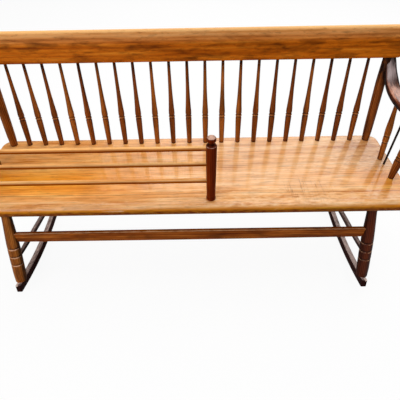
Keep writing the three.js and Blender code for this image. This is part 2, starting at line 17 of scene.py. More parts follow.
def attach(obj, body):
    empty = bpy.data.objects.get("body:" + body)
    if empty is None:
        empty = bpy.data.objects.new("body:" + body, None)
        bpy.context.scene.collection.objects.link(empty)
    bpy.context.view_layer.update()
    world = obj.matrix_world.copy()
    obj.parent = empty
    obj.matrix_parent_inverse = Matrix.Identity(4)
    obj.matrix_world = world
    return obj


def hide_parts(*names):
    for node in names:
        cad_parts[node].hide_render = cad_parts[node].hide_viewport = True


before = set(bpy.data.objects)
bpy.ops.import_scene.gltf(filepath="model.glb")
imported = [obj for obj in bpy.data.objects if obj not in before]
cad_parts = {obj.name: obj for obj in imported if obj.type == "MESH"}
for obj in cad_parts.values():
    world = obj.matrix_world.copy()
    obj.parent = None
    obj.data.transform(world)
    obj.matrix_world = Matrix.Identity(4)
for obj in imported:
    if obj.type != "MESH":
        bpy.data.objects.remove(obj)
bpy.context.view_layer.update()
chance = np.random.default_rng(1840)

# Seat plank
SEAT_TOP = 0.417
SEAT_THICK = 0.0395
SEAT_HALF = 0.77
SEAT_FRONT = -0.234
SEAT_BACK = 0.179
SEAT_CORNER = 0.038
SEAT_EDGE = 0.005
ROLL_DEEP = 0.026
ROLL_RISE = 0.022
ROLL_UNDER = 0.01

# Back
SPINDLES = 21
PITCH = 0.0657
BACK_FOOT = 0.1485
BACK_RISE = 0.319
BACK_LEAN = 0.0468
SPINDLE_RADIUS = 0.0122
SEAT_PLUG = 0.02
CREST_PLUG = 0.016
STILE_X = 0.7227
STILE_RADIUS = 0.0171
STILE_TENON = 0.008
STILE_DIM = {"left": 0.05, "right": 0.3}
CREST_HALF = 0.77
CREST_TALL = 0.1074
CREST_THICK = 0.025
CREST_CORNER = 0.016
CREST_EDGE = 0.003
CREST_ROUND = 0.012

# Arms. Each line runs from the stile to the front through points at this Y, height above the seat and X past ARM_X
ARM_X = 0.741
ARM_REACH = np.array([202, 166, 120, 70, 27, -14, -60, -108, -138, -152, -146]) / 1000
ARM_RISE = np.array([310, 277, 245, 231, 226, 227, 231, 231, 220, 200, 182]) / 1000
ARM_BOW = np.array([-1, -2, -3, -3, -2, 0, 3, 6, 7, 7, 7]) / 1000
ARM_WIDE = 0.0284
ARM_THICK = 0.012
ARM_PLUG = 0.013
ARM_TIP = 0.007
ARM_THINNEST = 0.001
BRACE_FOOT = (0.7355, -0.019, SEAT_TOP)
BRACE_HEAD = (0.7405, -0.019, SEAT_TOP + 0.216)
BRACE_RADIUS = 0.0038

# Base
ROCKER_X = 0.671
ROCKER_RADIUS = 1.25
ROCKER_TALL = 0.034
ROCKER_THICK = 0.02
ROCKER_LOW = 0.008
ROCKER_REACH = 0.3106
ROCKER_FLAT = 0.03
ROCKER_CENTRE = math.sqrt(ROCKER_RADIUS ** 2 - (ROCKER_FLAT / 2) ** 2)
ROCKER_NOSE = 0.009
ROCKER_TAPER = 0.007
ROCKER_EDGE = 0.0025
LEG_RADIUS = 0.0225
LEG_TENON = 0.011
LEG_TENON_LONG = 0.024
FOOT_TENON = 0.0052
FOOT_TENON_LONG = 0.021
LEG_SPARE = 0.009
BOARD_HEIGHTS = {"front": 0.264, "rear": 0.252}
BOARD_THICK = 0.013
BOARD_TALL = 0.043
BOARD_BOW = 0.002
BOARD_ENDS = 0.005
BOARD_TENON = 0.026
BOARD_TENON_CUT = 0.0055
BOARD_EDGE_LOW = 0.0016
BOARD_EDGE_HIGH = 0.002
BOARD_FINE = 0.03
ROD_PLACES = (("front", 0.695), ("rear", 0.84))
ROD_RADIUS = 0.0105
ROD_PLUG = 0.013
# Left legs take the pale row and right ones the dark row, partly their finish and partly painted shade
LEG_TONES_AND_SHADE = {"left": 0.1, "right": 0.95}
# Room left at a joint
FIT = 0.0003

# Guard
GUARD_Y = -0.193
GUARD_POSTS = (-0.704, 0.078)
GUARD_POST_RADIUS = 0.017
GUARD_POST_TALL = 0.25
GUARD_PIN_RADIUS = 0.008
GUARD_PIN_LONG = 0.022
GUARD_HOLE_SLACK = 0.0005
DRILL_TALL = 0.04
GUARD_RAIL_RADIUS = 0.0082
GUARD_RAIL_PLUG = 0.0045
GUARD_RAIL_HEIGHTS = {"top": 0.2075, "middle": 0.149, "bottom": 0.0805}

# Turned outlines: share of the length, share of the largest radius. The length of a leg runs down from the seat,
# that of a side rod from front to rear, that of a guard rail from left to right, and any other from the foot up
SPINDLE = [[0, 0.75], [0.28, 0.92], [0.325, 0.94], [0.338, 0.82], [0.345, 0.92], [0.353, 1], [0.361, 0.92],
           [0.368, 0.82], [0.381, 0.93], [0.395, 0.94], [0.48, 0.81], [0.68, 0.58], [1, 0.43]]
STILE = [[0, 0.8], [0.15, 0.93], [0.45, 0.98], [0.7, 1], [0.9, 0.88], [1, 0.8]]
ARM_SPINDLE = [[0, 0.78], [0.2, 0.88], [0.305, 0.91], [0.317, 0.87], [0.325, 0.76], [0.333, 0.9], [0.345, 0.94],
               [0.425, 0.96], [0.437, 0.92], [0.445, 0.78], [0.453, 0.94], [0.465, 0.98], [0.55, 1], [0.8, 0.72],
               [1, 0.52]]
ARM_POST = [[0, 0.68], [0.2, 0.9], [0.32, 1], [0.348, 0.98], [0.36, 0.84], [0.39, 1], [0.42, 0.84], [0.432, 0.96],
            [0.46, 0.97], [0.7, 0.82], [1, 0.62]]
LEG = [[0, 0.72], [0.12, 0.76], [0.28, 0.87], [0.41, 0.95], [0.485, 0.98], [0.493, 0.97], [0.502, 0.86], [0.511, 0.98],
       [0.52, 0.99], [0.599, 1], [0.608, 0.99], [0.617, 0.87], [0.626, 0.99], [0.635, 1], [0.715, 1], [0.724, 0.99],
       [0.733, 0.87], [0.742, 0.98], [0.752, 0.99], [0.86, 0.99], [1, 0.9]]
LEG_RINGS = (0.502, 0.617, 0.733)
SIDE_ROD = [[0, 0.72], [0.2, 0.92], [0.5, 1], [0.8, 0.92], [1, 0.72]]
GUARD_RAIL = [[0, 0.95], [0.5, 1], [1, 0.95]]
GUARD_POST = [[0, 0.86], [0.012, 0.95], [0.03, 0.95], [0.042, 0.88], [0.5, 0.96], [0.866, 1], [0.878, 0.93],
              [0.888, 0.64], [0.915, 0.56], [0.93, 0.72], [0.945, 0.86], [0.972, 0.86], [0.99, 0.74], [1, 0.5]]
# An arm from the stile to the front: share of its length, share of its width or thickness
ARM_WIDE_BY = [[0, 0.6], [0.1, 0.7], [0.2, 0.84], [0.35, 0.89], [0.5, 0.88], [0.75, 0.96], [0.9, 1], [1, 0.94]]
ARM_THICK_BY = [[0, 0.9], [0.3, 1], [0.9, 1], [1, 0.72]]
# How wide a plug is in its socket, as a share of its width before it
PLUG_SHARE = 0.94
# Under each arm: foot and head by X, Y and height above the seat, outline, largest radius, grooves, tone
ARM_STANDS = {
    "spindle": ((0.733, 0.014, 0), (0.733, 0.044, 0.214), ARM_SPINDLE, 0.0117, (0.325, 0.445), 0.05),
    "post": ((0.731, -0.098, 0), (0.738, -0.098, 0.219), ARM_POST, 0.0145, (0.36, 0.42), 0.4),
}
# Each leg: X and Y of its top, Y of its foot
LEG_LINES = {"front": (0.647, -0.1915, -0.269), "rear": (0.612, 0.112, 0.182)}
SIDES = (("left", -1), ("right", 1))
# How far in a drawn in bar has its first ring, so that this one has some width
END_RING = 0.0004

# Camera and light
CAMERA_PLACE = (0.0446, -1.0944, 1.2616)
CAMERA_YAW = 0.2731
CAMERA_DIP = 43.37
CAMERA_ROLL = -1.12
CAMERA_LENS = 32.4
CAMERA_SENSOR = 36
FLOOR_HALF = 30
# For light and for the camera: how pale the floor is, and how much of it is white of its own
FLOOR_PALE = (0.35, 0.95)
FLOOR_WHITE = (0.0, 0.93)
WORLD_STRENGTH = 0.16
# Place, what it looks at, size, power
LAMPS = {
    "window behind": ((1.2, 3.3, 3.0), (0.3, 0, 0.4), (4.2, 2.4), 86),
    "window edge": ((-1.2, 3.95, 3.0), (-2.1, 0.65, 0.4), (0.76, 2.4), 8),
    "sky panel": ((0.2, 0.5, 3.5), (0.1, 0, 0.4), (4.0, 3.0), 83),
    "front softbox": ((-1.6, -2.5, 2.1), (0, 0, 0.4), (2.4, 1.8), 47),
}

# Woods: four colours as they are seen, from the dark to the light lines, at tone 0 and again at tone 1, then the
# bared wood, the grime, and the rest that wood() takes. On some pieces a row of colours is painted light, the
# bared wood also paints highlights and sheen, and the grime also paints shade
LINE_PLACES = (0.0, 0.4, 0.7, 1.0)
WOODS = {
    # Crest: tone 0 row is painted light on the upper face, bared wood a painted highlight on the top edge
    "crest": dict(
        name="amber crest wood",
        low_tone_and_light=[(202, 124, 54), (244, 170, 98), (250, 184, 114), (254, 197, 130)],
        high_tone_and_light=[(146, 65, 6), (200, 103, 14), (215, 118, 22), (233, 139, 37)],
        wear_and_highlight=(248, 188, 120), grime_and_shade=(70, 28, 4), pitch=22, rough=(0.36, 0.5), shine=0.06,
        figure=0.12, fibre=0.45, cloud=0.7, knots=0.5, flow=(4, 56), mottle=(13, 50), dash=(16, 200), clear=0.3),
    # Seat: tone 1 row is partly painted sheen; bared wood also paints sheen and the front lip's highlight
    "seat": dict(
        name="honey seat pine",
        low_tone_and_light=[(216, 116, 4), (242, 144, 8), (250, 160, 16), (254, 178, 36)],
        high_tone_and_light=[(212, 134, 68), (240, 174, 106), (250, 192, 132), (255, 210, 158)],
        wear_and_highlight=(254, 215, 168), grime_and_shade=(114, 44, 1), pitch=26, rough=(0.26, 0.38), coat=(0.56, 0.11), shine=0.12,
        figure=0.08, fibre=0.34, cloud=0.2, knots=0.4, joint=-0.168, flow=(5, 56), mottle=(10, 44), dash=(15, 190),
        scars=(((110, 3.5, 4), (9, 12, 9), (-3.78, 1.92, -3.75)), ((9, 75, 75), (7, 6, 7), (-4.76, -0.12, -2.92)))),
    # Spindles and stands: bared wood paints the highlights on beads and on groove lips
    "spindle": dict(
        name="red brown spindle wood",
        low_tone_and_light=[(104, 46, 10), (156, 80, 20), (182, 102, 32), (204, 126, 52)],
        high_tone_and_light=[(72, 28, 8), (118, 54, 14), (148, 74, 22), (174, 96, 36)],
        wear_and_highlight=(206, 136, 72), grime_and_shade=(34, 12, 4), pitch=70, rough=(0.34, 0.46), coat=(0.06, 0.15), shine=0.12,
        fibre=0.35),
    # Arms: tone 0 row is a painted grey sheen, bared wood a painted highlight, dark rows partly painted shade
    "arm": dict(
        name="dark arm wood",
        low_tone_and_light=[(136, 114, 112), (164, 142, 140), (180, 158, 156), (196, 174, 171)],
        high_tone_and_light=[(50, 20, 10), (80, 36, 18), (104, 50, 24), (128, 66, 34)],
        wear_and_highlight=(204, 144, 116), grime_and_shade=(24, 9, 4), rough=(0.24, 0.34), coat=(0.6, 0.16), shine=0.15),
    # Legs: the dark row on the right legs is partly painted shade
    "leg": dict(
        name="dark leg wood",
        low_tone_and_light=[(118, 56, 10), (174, 94, 24), (196, 114, 38), (214, 138, 58)],
        high_tone_and_light=[(46, 12, 4), (82, 26, 8), (100, 36, 12), (120, 50, 20)],
        wear_and_highlight=(236, 178, 138), grime_and_shade=(24, 9, 4), rough=(0.32, 0.44), coat=(0.2, 0.2), shine=0.1,
        figure=0.2, cloud=0.6),
    # Rockers and side rods: grey tone 0 row and bared wood are painted sheen, dark row partly painted shade
    "rocker": dict(
        name="rocker wood with painted sheen and shade",
        low_tone_and_light=[(128, 102, 96), (168, 142, 134), (186, 160, 152), (200, 174, 166)],
        high_tone_and_light=[(30, 8, 5), (52, 18, 13), (64, 26, 19), (80, 38, 29)],
        wear_and_highlight=(248, 222, 208), grime_and_shade=(40, 14, 12), pitch=50, rough=(0.3, 0.42), coat=(0.05, 0.14), shine=0.06),
    # Stretchers: bared wood paints the highlight on the boards' front lip
    "stretcher": dict(
        name="red brown stretcher wood",
        low_tone_and_light=[(118, 48, 9), (166, 82, 20), (188, 100, 32), (208, 122, 48)],
        high_tone_and_light=[(102, 40, 6), (150, 70, 14), (173, 87, 22), (193, 108, 38)],
        wear_and_highlight=(224, 170, 124), grime_and_shade=(46, 20, 8), pitch=30, rough=(0.34, 0.48), shine=0.08,
        figure=0.15, fibre=0.4, knots=0.3, flow=(5, 48), mottle=(14, 44)),
    # Guard posts: bared wood paints highlights on the button's top and shoulder
    "post": dict(
        name="dark guard post wood",
        low_tone_and_light=[(72, 16, 1), (116, 34, 1), (138, 46, 2), (162, 62, 6)],
        high_tone_and_light=[(66, 14, 1), (110, 30, 1), (132, 42, 2), (156, 58, 6)],
        wear_and_highlight=(208, 164, 142), grime_and_shade=(30, 8, 1), rough=(0.3, 0.4), coat=(0.0, 0.12), shine=0.04,
        figure=0.2),
    # Rails: tone 0 row is the painted lit top, tone 1 row the painted shaded underside
    "rail": dict(
        name="guard rail wood with painted light and shade",
        low_tone_and_light=[(232, 150, 76), (252, 182, 108), (254, 192, 122), (255, 204, 138)],
        high_tone_and_light=[(120, 46, 1), (158, 66, 1), (176, 80, 2), (192, 96, 8)],
        wear_and_highlight=(254, 206, 146), grime_and_shade=(70, 26, 2), rough=(0.4, 0.5), coat=(0.0, 0.15), shine=0.0,
        figure=0.3, fibre=0.2, cloud=0.25, knots=0.9),
}


def eased(table, at):
    """An outline between its rows: on each stretch the cubic that meets both rows, with a slope at each row that is
    the harmonic mean of the slopes on its two sides, or level where those differ in sign, so no row is overshot."""
    x, y = np.array(table, float).T
    step = np.diff(x)
    slope = np.diff(y) / step
    product = slope[:-1] * slope[1:]
    total = np.where(product > 0, slope[:-1] + slope[1:], 1)
    inner = np.where(product > 0, 2 * product / total, 0)
    grade = np.r_[slope[0], inner, slope[-1]]
    i = np.clip(np.searchsorted(x, at, side="right") - 1, 0, len(step) - 1)
    t = (at - x[i]) / step[i]
    start = y[i] * (1 + 2 * t) + grade[i] * step[i] * t
    end = y[i + 1] * (3 - 2 * t) + grade[i + 1] * step[i] * (t - 1)
    return start * (1 - t) ** 2 + end * t ** 2


def swell(x, middle, width):
    """A bump of height 1 at the middle that falls off as the bell curve exp(-(distance / width)^2)."""
    return np.exp(-((x - middle) / width) ** 2)


def rise(x, low, high):
    """0 up to low, 1 from high on, and between them the smooth step 3t^2 - 2t^3."""
    t = np.clip((x - low) / (high - low), 0, 1)
    return t * t * (3 - 2 * t)


def level(vectors):
    """The same vectors at length 1."""
    return vectors / np.linalg.norm(vectors, axis=-1, keepdims=True)


def circle(angle):
    """Points of the unit circle: cosine and sine of each angle."""
    return np.stack([np.cos(angle), np.sin(angle)], -1)


def skinned(rings, grain, wear_and_highlight=0, grime_and_shade=0, tone_and_light=None, moved=True):
    """Quads between each ring and the next, and a fan from the middle of the first and of the last ring. The rings
    turn right-handed about the way from the first to the last, so that all faces look outwards. A tone that isn't
    given is one chance share for the whole piece, and the timber is cut at a place of its own."""
    rows, around = rings.shape[:2]
    turn = np.arange(around)
    onward = (turn + 1) % around
    start = np.arange(rows - 1)[:, None] * around
    quads = np.stack([start + turn, start + onward, start + onward + around, start + turn + around], -1)
    last = (rows - 1) * around
    fans = np.concatenate([
        np.stack([np.full(around, rows * around), onward, turn], -1),
        np.stack([np.full(around, rows * around + 1), last + turn, last + onward], -1),
    ])

    def closed(values):
        return np.concatenate([values.reshape(rows * around, -1), values[:1].mean(1), values[-1:].mean(1)])

    mesh = bpy.data.meshes.new("skin")
    mesh.from_pydata(closed(rings).tolist(), [], quads.reshape(-1, 4).tolist() + fans.tolist())
    store(mesh, "grain", closed(grain) + (chance.uniform(0, 9, 3) if moved else 0))
    tone_and_light = chance.uniform() if tone_and_light is None else tone_and_light
    for key, value in (("wear_and_highlight", wear_and_highlight), ("grime_and_shade", grime_and_shade), ("tone_and_light", tone_and_light)):
        spread = np.broadcast_to(value, (rows, around))
        store(mesh, key, closed(spread[..., None])[:, 0])
    return mesh


def store(mesh, key, values):
    """Writes one number or one vector for each point of the mesh."""
    kind, field = ("FLOAT", "value") if values.ndim == 1 else ("FLOAT_VECTOR", "vector")
    attribute = mesh.attributes.new(key, kind, "POINT")
    attribute.data.foreach_set(field, values.astype(np.float32).ravel())


def linked(name, data):
    """A new object of that data, in the scene."""
    thing = bpy.data.objects.new(name, data)
    bpy.context.scene.collection.objects.link(thing)
    return thing


def placed(name, mesh, nodes, finish, body="bench", sharp=50):
    """Puts a finished mesh in the scene on its body, in place of its solids."""
    mesh.materials.append(finish)
    mesh.shade_smooth()
    mesh.set_sharp_from_angle(angle=math.radians(sharp))
    piece = linked(name, mesh)
    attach(piece, body)
    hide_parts(*nodes)


def turned(foot, head, heights, radii, around=32):
    """Rings and timber coordinates of a turning: at each height on the line from foot to head, a circle of the
    radius given there, about two directions that stand square to the line. The grain runs along the line."""
    along = level(np.subtract(head, foot))
    first = level(np.cross([0, 1, 0], along))
    second = np.cross(along, first)
    unit = circle(np.arange(around) / around * 2 * math.pi)
    out = unit[:, :1] * first + unit[:, 1:] * second
    heights, radii = np.asarray(heights)[:, None, None], np.asarray(radii)[:, None, None]
    rings = foot + heights * along + radii * out
    return rings, np.concatenate([np.broadcast_to(heights, rings.shape[:2] + (1,)), radii * unit], -1)


def shaded_flanks(grain, thick=0.4):
    """Painted shade on the two sides of a turning that look along the bench, as thick as given, and 0 before and
    behind.
    """
    return thick * rise(np.abs(grain[..., 1]) / np.hypot(grain[..., 1], grain[..., 2]), 0.6, 1)


def stations(table, count):
    """Shares of the length at which an outline is worked out: evenly, and at and beside each of its rows."""
    rows = np.array(table)[:, 0]
    between = (rows[:-1, None] + np.diff(rows)[:, None] * [0.25, 0.5, 0.75]).ravel()
    return np.unique(np.round(np.r_[np.linspace(0, 1, count), rows, between], 5))


def plugged(foot, head, table, radius, low, high, count=40, around=28):
    """A turning whose two ends run on into their sockets, each narrowed to a share of its width there."""
    length = np.linalg.norm(np.subtract(head, foot))
    share = stations(table, count)
    wide = eased(table, share) * radius
    heights = np.r_[-low, share * length, length + high]
    radii = np.r_[wide[0] * PLUG_SHARE, wide, wide[-1] * PLUG_SHARE]
    rings, grain = turned(foot, head, heights, radii, around)
    return rings, grain, np.r_[0, share, 1]


def bar(middle, across, up, wide, tall, low_round, high_round, steps, fill=0):
    """Rings of a bar with rounded edges: from each corner at plus or minus (half width, half height), both less the
    edge's radius, the radius times the unit circle. Across, up and the way along are right-handed, and across and
    up are one vector or one for each middle. The lower edges have one radius and the upper ones another, and the
    upright sides may be filled with even points."""
    quarter = np.linspace(0, math.pi / 2, steps + 1)
    unit = circle(np.concatenate([quarter + k * math.pi / 2 for k in range(4)]))
    sign = np.repeat([[1, 1], [-1, 1], [-1, -1], [1, -1]], steps + 1, 0)
    wide, tall, low_round, high_round = (
        np.broadcast_to(a, len(middle))[:, None] for a in (wide, tall, low_round, high_round))
    edge = np.minimum(np.where(sign[:, 1] > 0, high_round, low_round), np.minimum(wide, tall) * 0.98)[..., None]
    ring = sign * (np.stack([wide, tall], -1) - edge) + unit * edge
    share = np.linspace(0, 1, fill + 2)[1:-1, None]
    half = 2 * (steps + 1)
    down = ring[:, half - 1:half] * (1 - share) + ring[:, half:half + 1] * share
    back = ring[:, -1:] * (1 - share) + ring[:, :1] * share
    ring = np.concatenate([ring[:, :half], down, ring[:, half:], back], 1)
    across, up = (np.broadcast_to(v, middle.shape)[:, None] for v in (across, up))
    return middle[:, None] + ring[..., :1] * across + ring[..., 1:] * up


def drawn_in(distance, edge):
    """How far a bar's face has drawn in at a distance from its end, so that the end is a quarter circle."""
    left = np.clip(edge - distance, 0, edge)
    return edge - np.sqrt(edge ** 2 - left ** 2)


def from_ends(half, edge, count, fine):
    """Stations from -half to half, crowded inside a quarter circle of the given edge at both ends."""
    curl = edge * (1 - np.cos(np.linspace(0, math.pi / 2, fine)))
    curl[0] = END_RING
    return np.r_[-half + curl, np.linspace(-half + edge, half - edge, count)[1:-1], half - curl[::-1]]


# Seat

def rounded_outline(half, low, high, corner, straight=90, turn=9):
    """Points and outward directions round a rectangle with round corners, starting at the front left."""
    places, outs = [], []
    middles = [(half - corner, low + corner), (half - corner, high - corner),
               (corner - half, high - corner), (corner - half, low + corner)]
    for k, middle in enumerate(middles):
        out = circle(np.linspace(-math.pi / 2, 0, turn) + k * math.pi / 2)
        places.append(middle + corner * out)
        outs.append(out)
    loop, way = [], []
    for k in range(4):
        before = places[k - 1][-1]
        count = straight if k % 2 == 0 else straight // 4
        t = np.linspace(0, 1, count)[1:-1, None]
        loop += [before + (places[k][0] - before) * t, places[k]]
        way += [np.repeat(outs[k][:1], len(t), 0), outs[k]]
    return np.concatenate(loop), np.concatenate(way)


def seat_profile(count=14):
    """How far in from the outline, and how high, the seat's edge runs from its top to its underside: along the front
    a deep roll, a cubic curve above and a parabola below, and along the other sides a small round."""
    t = np.linspace(0, 1, count)
    roll_in = ROLL_DEEP * (1 - t) ** 3 + 3 * ROLL_DEEP * 0.25 * t * (1 - t) ** 2
    roll_z = -3 * ROLL_RISE * 0.5 * t ** 2 * (1 - t) - ROLL_RISE * t ** 3
    under_in = ROLL_UNDER * t ** 2
    under_z = -ROLL_RISE * (1 - t) ** 2 - SEAT_THICK * (1 - (1 - t) ** 2)
    front = np.stack([np.r_[roll_in, under_in[1:]], np.r_[roll_z, under_z[1:]]], -1)
    turn = t * math.pi / 2
    top = np.stack([SEAT_EDGE * (1 - np.sin(turn)), SEAT_EDGE * (np.cos(turn) - 1)], -1)
    low = np.stack([SEAT_EDGE * (1 - np.cos(turn)), -SEAT_THICK + SEAT_EDGE * (1 - np.sin(turn))], -1)
    return front, np.concatenate([top, low[1:]])


def seat_rings():
    """The plank: its outline drawn in by the profile, whose share of deep roll is how squarely the outline there
    looks to the front, and above and below the face run in to a line along the middle."""
    outline, out = rounded_outline(SEAT_HALF, SEAT_FRONT, SEAT_BACK, SEAT_CORNER)
    front, plain = seat_profile()
    ahead = np.clip(-out[:, 1:], 0, 1)
    profile = front[:, None] * ahead + plain[:, None] * (1 - ahead)
    edge = np.concatenate([outline - out * profile[..., :1], SEAT_TOP + profile[..., 1:]], -1)
    reach = (SEAT_BACK - SEAT_FRONT) / 2
    spine = np.clip(outline[:, 0], reach - SEAT_HALF, SEAT_HALF - reach)
    middle = np.full(len(spine), (SEAT_FRONT + SEAT_BACK) / 2)
    share = np.array([0.02, 0.3, 0.65, 0.98])[:, None, None]
    above, below = (ring * (1 - share) + np.c_[spine, middle, ring[:, 2]] * share for ring in (edge[0], edge[-1]))
    return np.concatenate([above[::-1], edge, below])[::-1]


def seat_marks(rings):
    """The plank's wear and painted highlight, grime and painted shade, and tone, as sums and products of bumps and
    steps in X, in Y and in the depth below its top: a front lip, worn and with a painted highlight, with chips under
    it, a pale right half and front strip, partly wear and partly painted sheen, an orange left front, a golden right
    end, ends darkened by painted shade under the arms and by grime, and a front roll and underside darkened by
    painted shade and stain."""
    depth = SEAT_TOP - rings[..., 2]
    x, y = rings[..., 0], rings[..., 1]
    at_front = rise(-y, -SEAT_FRONT - 0.02, -SEAT_FRONT - 0.001)
    chips = at_front * (0.6 * swell(x, -0.25, 0.06) + 0.4 * swell(x, 0.3, 0.05)) * swell(depth, 0.016, 0.004)
    # Bared patches at the front and on the right half: wear with a painted sheen
    bare_and_sheen = 0.4 * rise(x, -0.4, 0.1) * rise(-y, 0.12, 0.17) + 0.34 * rise(x, 0.4, 0.55) * rise(y, -0.14, -0.05)
    bare_and_sheen = np.maximum(bare_and_sheen * (1 - rise(depth, 0.002, 0.008)), 0.33 * swell(x, 0.34, 0.06) * swell(y, -0.12, 0.03))
    # The front lip: wear with a painted highlight
    lip = rise(-y, 0.17, 0.2) * (1 - rise(depth, 0.006, 0.013))
    wear_and_highlight = np.maximum(bare_and_sheen - 0.2 * lip, (0.27 + 0.13 * rise(x, -0.1, 0.2)) * lip) + chips
    orange = (1 - rise(x, -0.45, -0.12)) * swell(y, -0.095, 0.085)
    golden = 0.8 * rise(x, 0.55, 0.74) * rise(-y, 0.0, 0.1)
    tone_and_light = (0.62 + 0.38 * rise(x, -0.25, 0.2) - golden) * (1 - 0.95 * orange)
    # Below the lip the front roll turns saturated, and dark with the grime below: stain with painted shade
    tone_and_light = np.maximum(tone_and_light, 0.85 * lip) * (1 - at_front * rise(depth, 0.005, 0.016))
    # Darker ends, most under the arms: painted shade of the arms with grime
    arm_shade_and_grime = 0.28 * swell(x, -0.72, 0.32) * swell(y, 0.01, 0.09) + 0.2 * rise(x, 0.5, 0.72) * rise(y, -0.12, 0.05)
    arm_shade_and_grime = arm_shade_and_grime + 0.08 * rise(x, 0.6, 0.72) * rise(-y, 0.04, 0.12)
    # Darker from 9 mm below the top: painted shade on the front roll and underside, with stain
    grime_and_shade = np.maximum(rise(depth, 0.009, 0.024) * np.clip(1 - 1.6 * chips, 0, 1), arm_shade_and_grime)
    return wear_and_highlight, grime_and_shade, tone_and_light


def bored(mesh, x):
    """The same mesh with the guard's pin hole cut into its top."""
    radius = GUARD_PIN_RADIUS + GUARD_HOLE_SLACK
    deep = GUARD_PIN_LONG + GUARD_HOLE_SLACK
    foot = np.array([x, GUARD_Y, SEAT_TOP - deep])
    rings, grain = turned(foot, foot + [0, 0, 1], [0, DRILL_TALL], [radius * PLUG_SHARE, radius], around=24)
    blank, drill = linked("blank", mesh), linked("drill", skinned(rings, grain, 0, 1))
    cut = blank.modifiers.new("hole", "BOOLEAN")
    cut.operation, cut.object, cut.solver = "DIFFERENCE", drill, "EXACT"
    made = bpy.data.meshes.new_from_object(blank.evaluated_get(bpy.context.evaluated_depsgraph_get()))
    for thing in (blank, drill):
        bpy.data.objects.remove(thing)
    return made


def make_seat(finish):
    """The plank, bored for the guard's two pins."""
    rings = seat_rings()
    mesh = skinned(rings, rings, *seat_marks(rings), False)
    for x in GUARD_POSTS:
        mesh = bored(mesh, x)
    placed("seat", mesh, ["seat_plank"], finish, sharp=35)


# Back

def back_line(x):
    """Foot and head of the line on which a spindle or a stile stands."""
    foot = np.array([x, BACK_FOOT, SEAT_TOP])
    return foot, foot + [0, BACK_LEAN, BACK_RISE]


def make_spindles(finish):
    """Spindles at an even pitch, all with one outline turned about the slope of the back."""
    for i in range(SPINDLES):
        foot, head = back_line((i - (SPINDLES - 1) / 2) * PITCH)
        rings, grain, share = plugged(foot, head, SPINDLE, SPINDLE_RADIUS, SEAT_PLUG, CREST_PLUG, count=36, around=24)
        # A lighter bead and a band about it: painted highlight with wear
        wear_and_highlight = (swell(share, 0.353, 0.008) * 0.36 + swell(share, 0.34, 0.1) * 0.22)[:, None]
        # Darker grooves, a dark ring at the foot, a painted shadow under the crest and painted shade on the flanks
        grooves = (swell(share, 0.337, 0.007) + swell(share, 0.369, 0.007)) * 0.75
        grime_and_shade = (grooves + swell(share, 0, 0.014) * 0.8 + swell(share, 1, 0.1) * 1.1)[:, None] + shaded_flanks(grain)
        name = f"spindle_{i + 1:02d}"
        placed(name, skinned(rings, grain, wear_and_highlight, np.clip(grime_and_shade, 0, 1)), ["back_" + name], finish)


def make_stiles(finish):
    """The outline turned about the slope of the back at each end, with a thin tenon into the crest rail. Painted shade
    lies thick at the top, under the crest, most of all on the outer side, by the arm."""
    for side, sign in SIDES:
        foot, head = back_line(sign * STILE_X)
        length = np.linalg.norm(head - foot)
        share = stations(STILE, 40)
        wide = eased(STILE, share) * STILE_RADIUS
        heights = np.r_[-SEAT_PLUG, share * (length - FIT), length - FIT, length + CREST_PLUG]
        radii = np.r_[wide[0] * PLUG_SHARE, wide, STILE_TENON, STILE_TENON]
        rings, grain = turned(foot, head, heights, radii)
        share = np.r_[0, share, 1, 1]
        dim = STILE_DIM[side]
        # A painted shadow under the crest at the top, a dark foot ring, and the right stile dimmer
        grime_and_shade = np.maximum(swell(share, 0, 0.01) * 0.7 + swell(share, 1, 0.13) * 0.6, dim * 0.5)[:, None]
        # Painted shade by the arm on the outer side, and on the flanks
        by_arm = rise(share, 0.6, 0.8)[:, None] * rise(sign * grain[..., 1] / STILE_RADIUS, -0.7, 0.4)
        grime_and_shade = np.clip(grime_and_shade + shaded_flanks(grain) + 1.3 * by_arm + rise(share, 0.68, 0.92)[:, None], 0, 1.2)
        name = f"stile_{side}"
        placed(name, skinned(rings, grain, 0, grime_and_shade, 2 * dim), ["back_" + name], finish)


def make_crest(finish):
    """The crest rail, on the slope of the back: its height is cut down near each end by the quarter circle of its
    corners, and its thickness by that of its edges."""
    up = level([0, BACK_LEAN, BACK_RISE])
    across = np.array([0, up[2], -up[1]])
    x = from_ends(CREST_HALF, CREST_CORNER, count=140, fine=14)
    near = CREST_HALF - np.abs(x)
    tall = CREST_TALL / 2 - drawn_in(near, CREST_CORNER)
    wide = CREST_THICK / 2 - drawn_in(near, CREST_EDGE)
    head = np.array([0, BACK_FOOT + BACK_LEAN, SEAT_TOP + BACK_RISE])
    middle = head + up * CREST_TALL / 2 + x[:, None] * [1, 0, 0]
    rings = bar(middle, across, up, wide, tall, CREST_EDGE, CREST_ROUND, steps=8, fill=16)[:, ::-1]
    x = rings[..., 0]
    height = (rings - head) @ up
    grain = np.stack([x, height, (rings - head) @ across], -1)
    # A painted highlight along the rounded top edge
    wear_and_highlight = 0.75 * rise(height, CREST_TALL - 0.014, CREST_TALL - 0.004)
    ends = rise(np.abs(x), CREST_HALF - 0.012, CREST_HALF - 0.004) * 0.4
    shaded = 0.1 * rise(x, -0.5, -0.3) + 0.05 * swell(x, 0, 0.2)
    # Painted shade on the underside and across all but the left end, most in the middle, less to the right; darker
    # ends
    grime_and_shade = rise(-height, -0.003, 0.0) * 0.5 + ends + shaded - 0.13 * rise(x, 0.25, 0.5)
    # A pale top fading down the face: painted light from above
    tone_and_light = 1 - rise(height, CREST_TALL - 0.05, CREST_TALL - 0.006)
    placed("crest", skinned(rings, grain, wear_and_highlight, grime_and_shade, tone_and_light), ["crest_rail"], finish)


# Arms

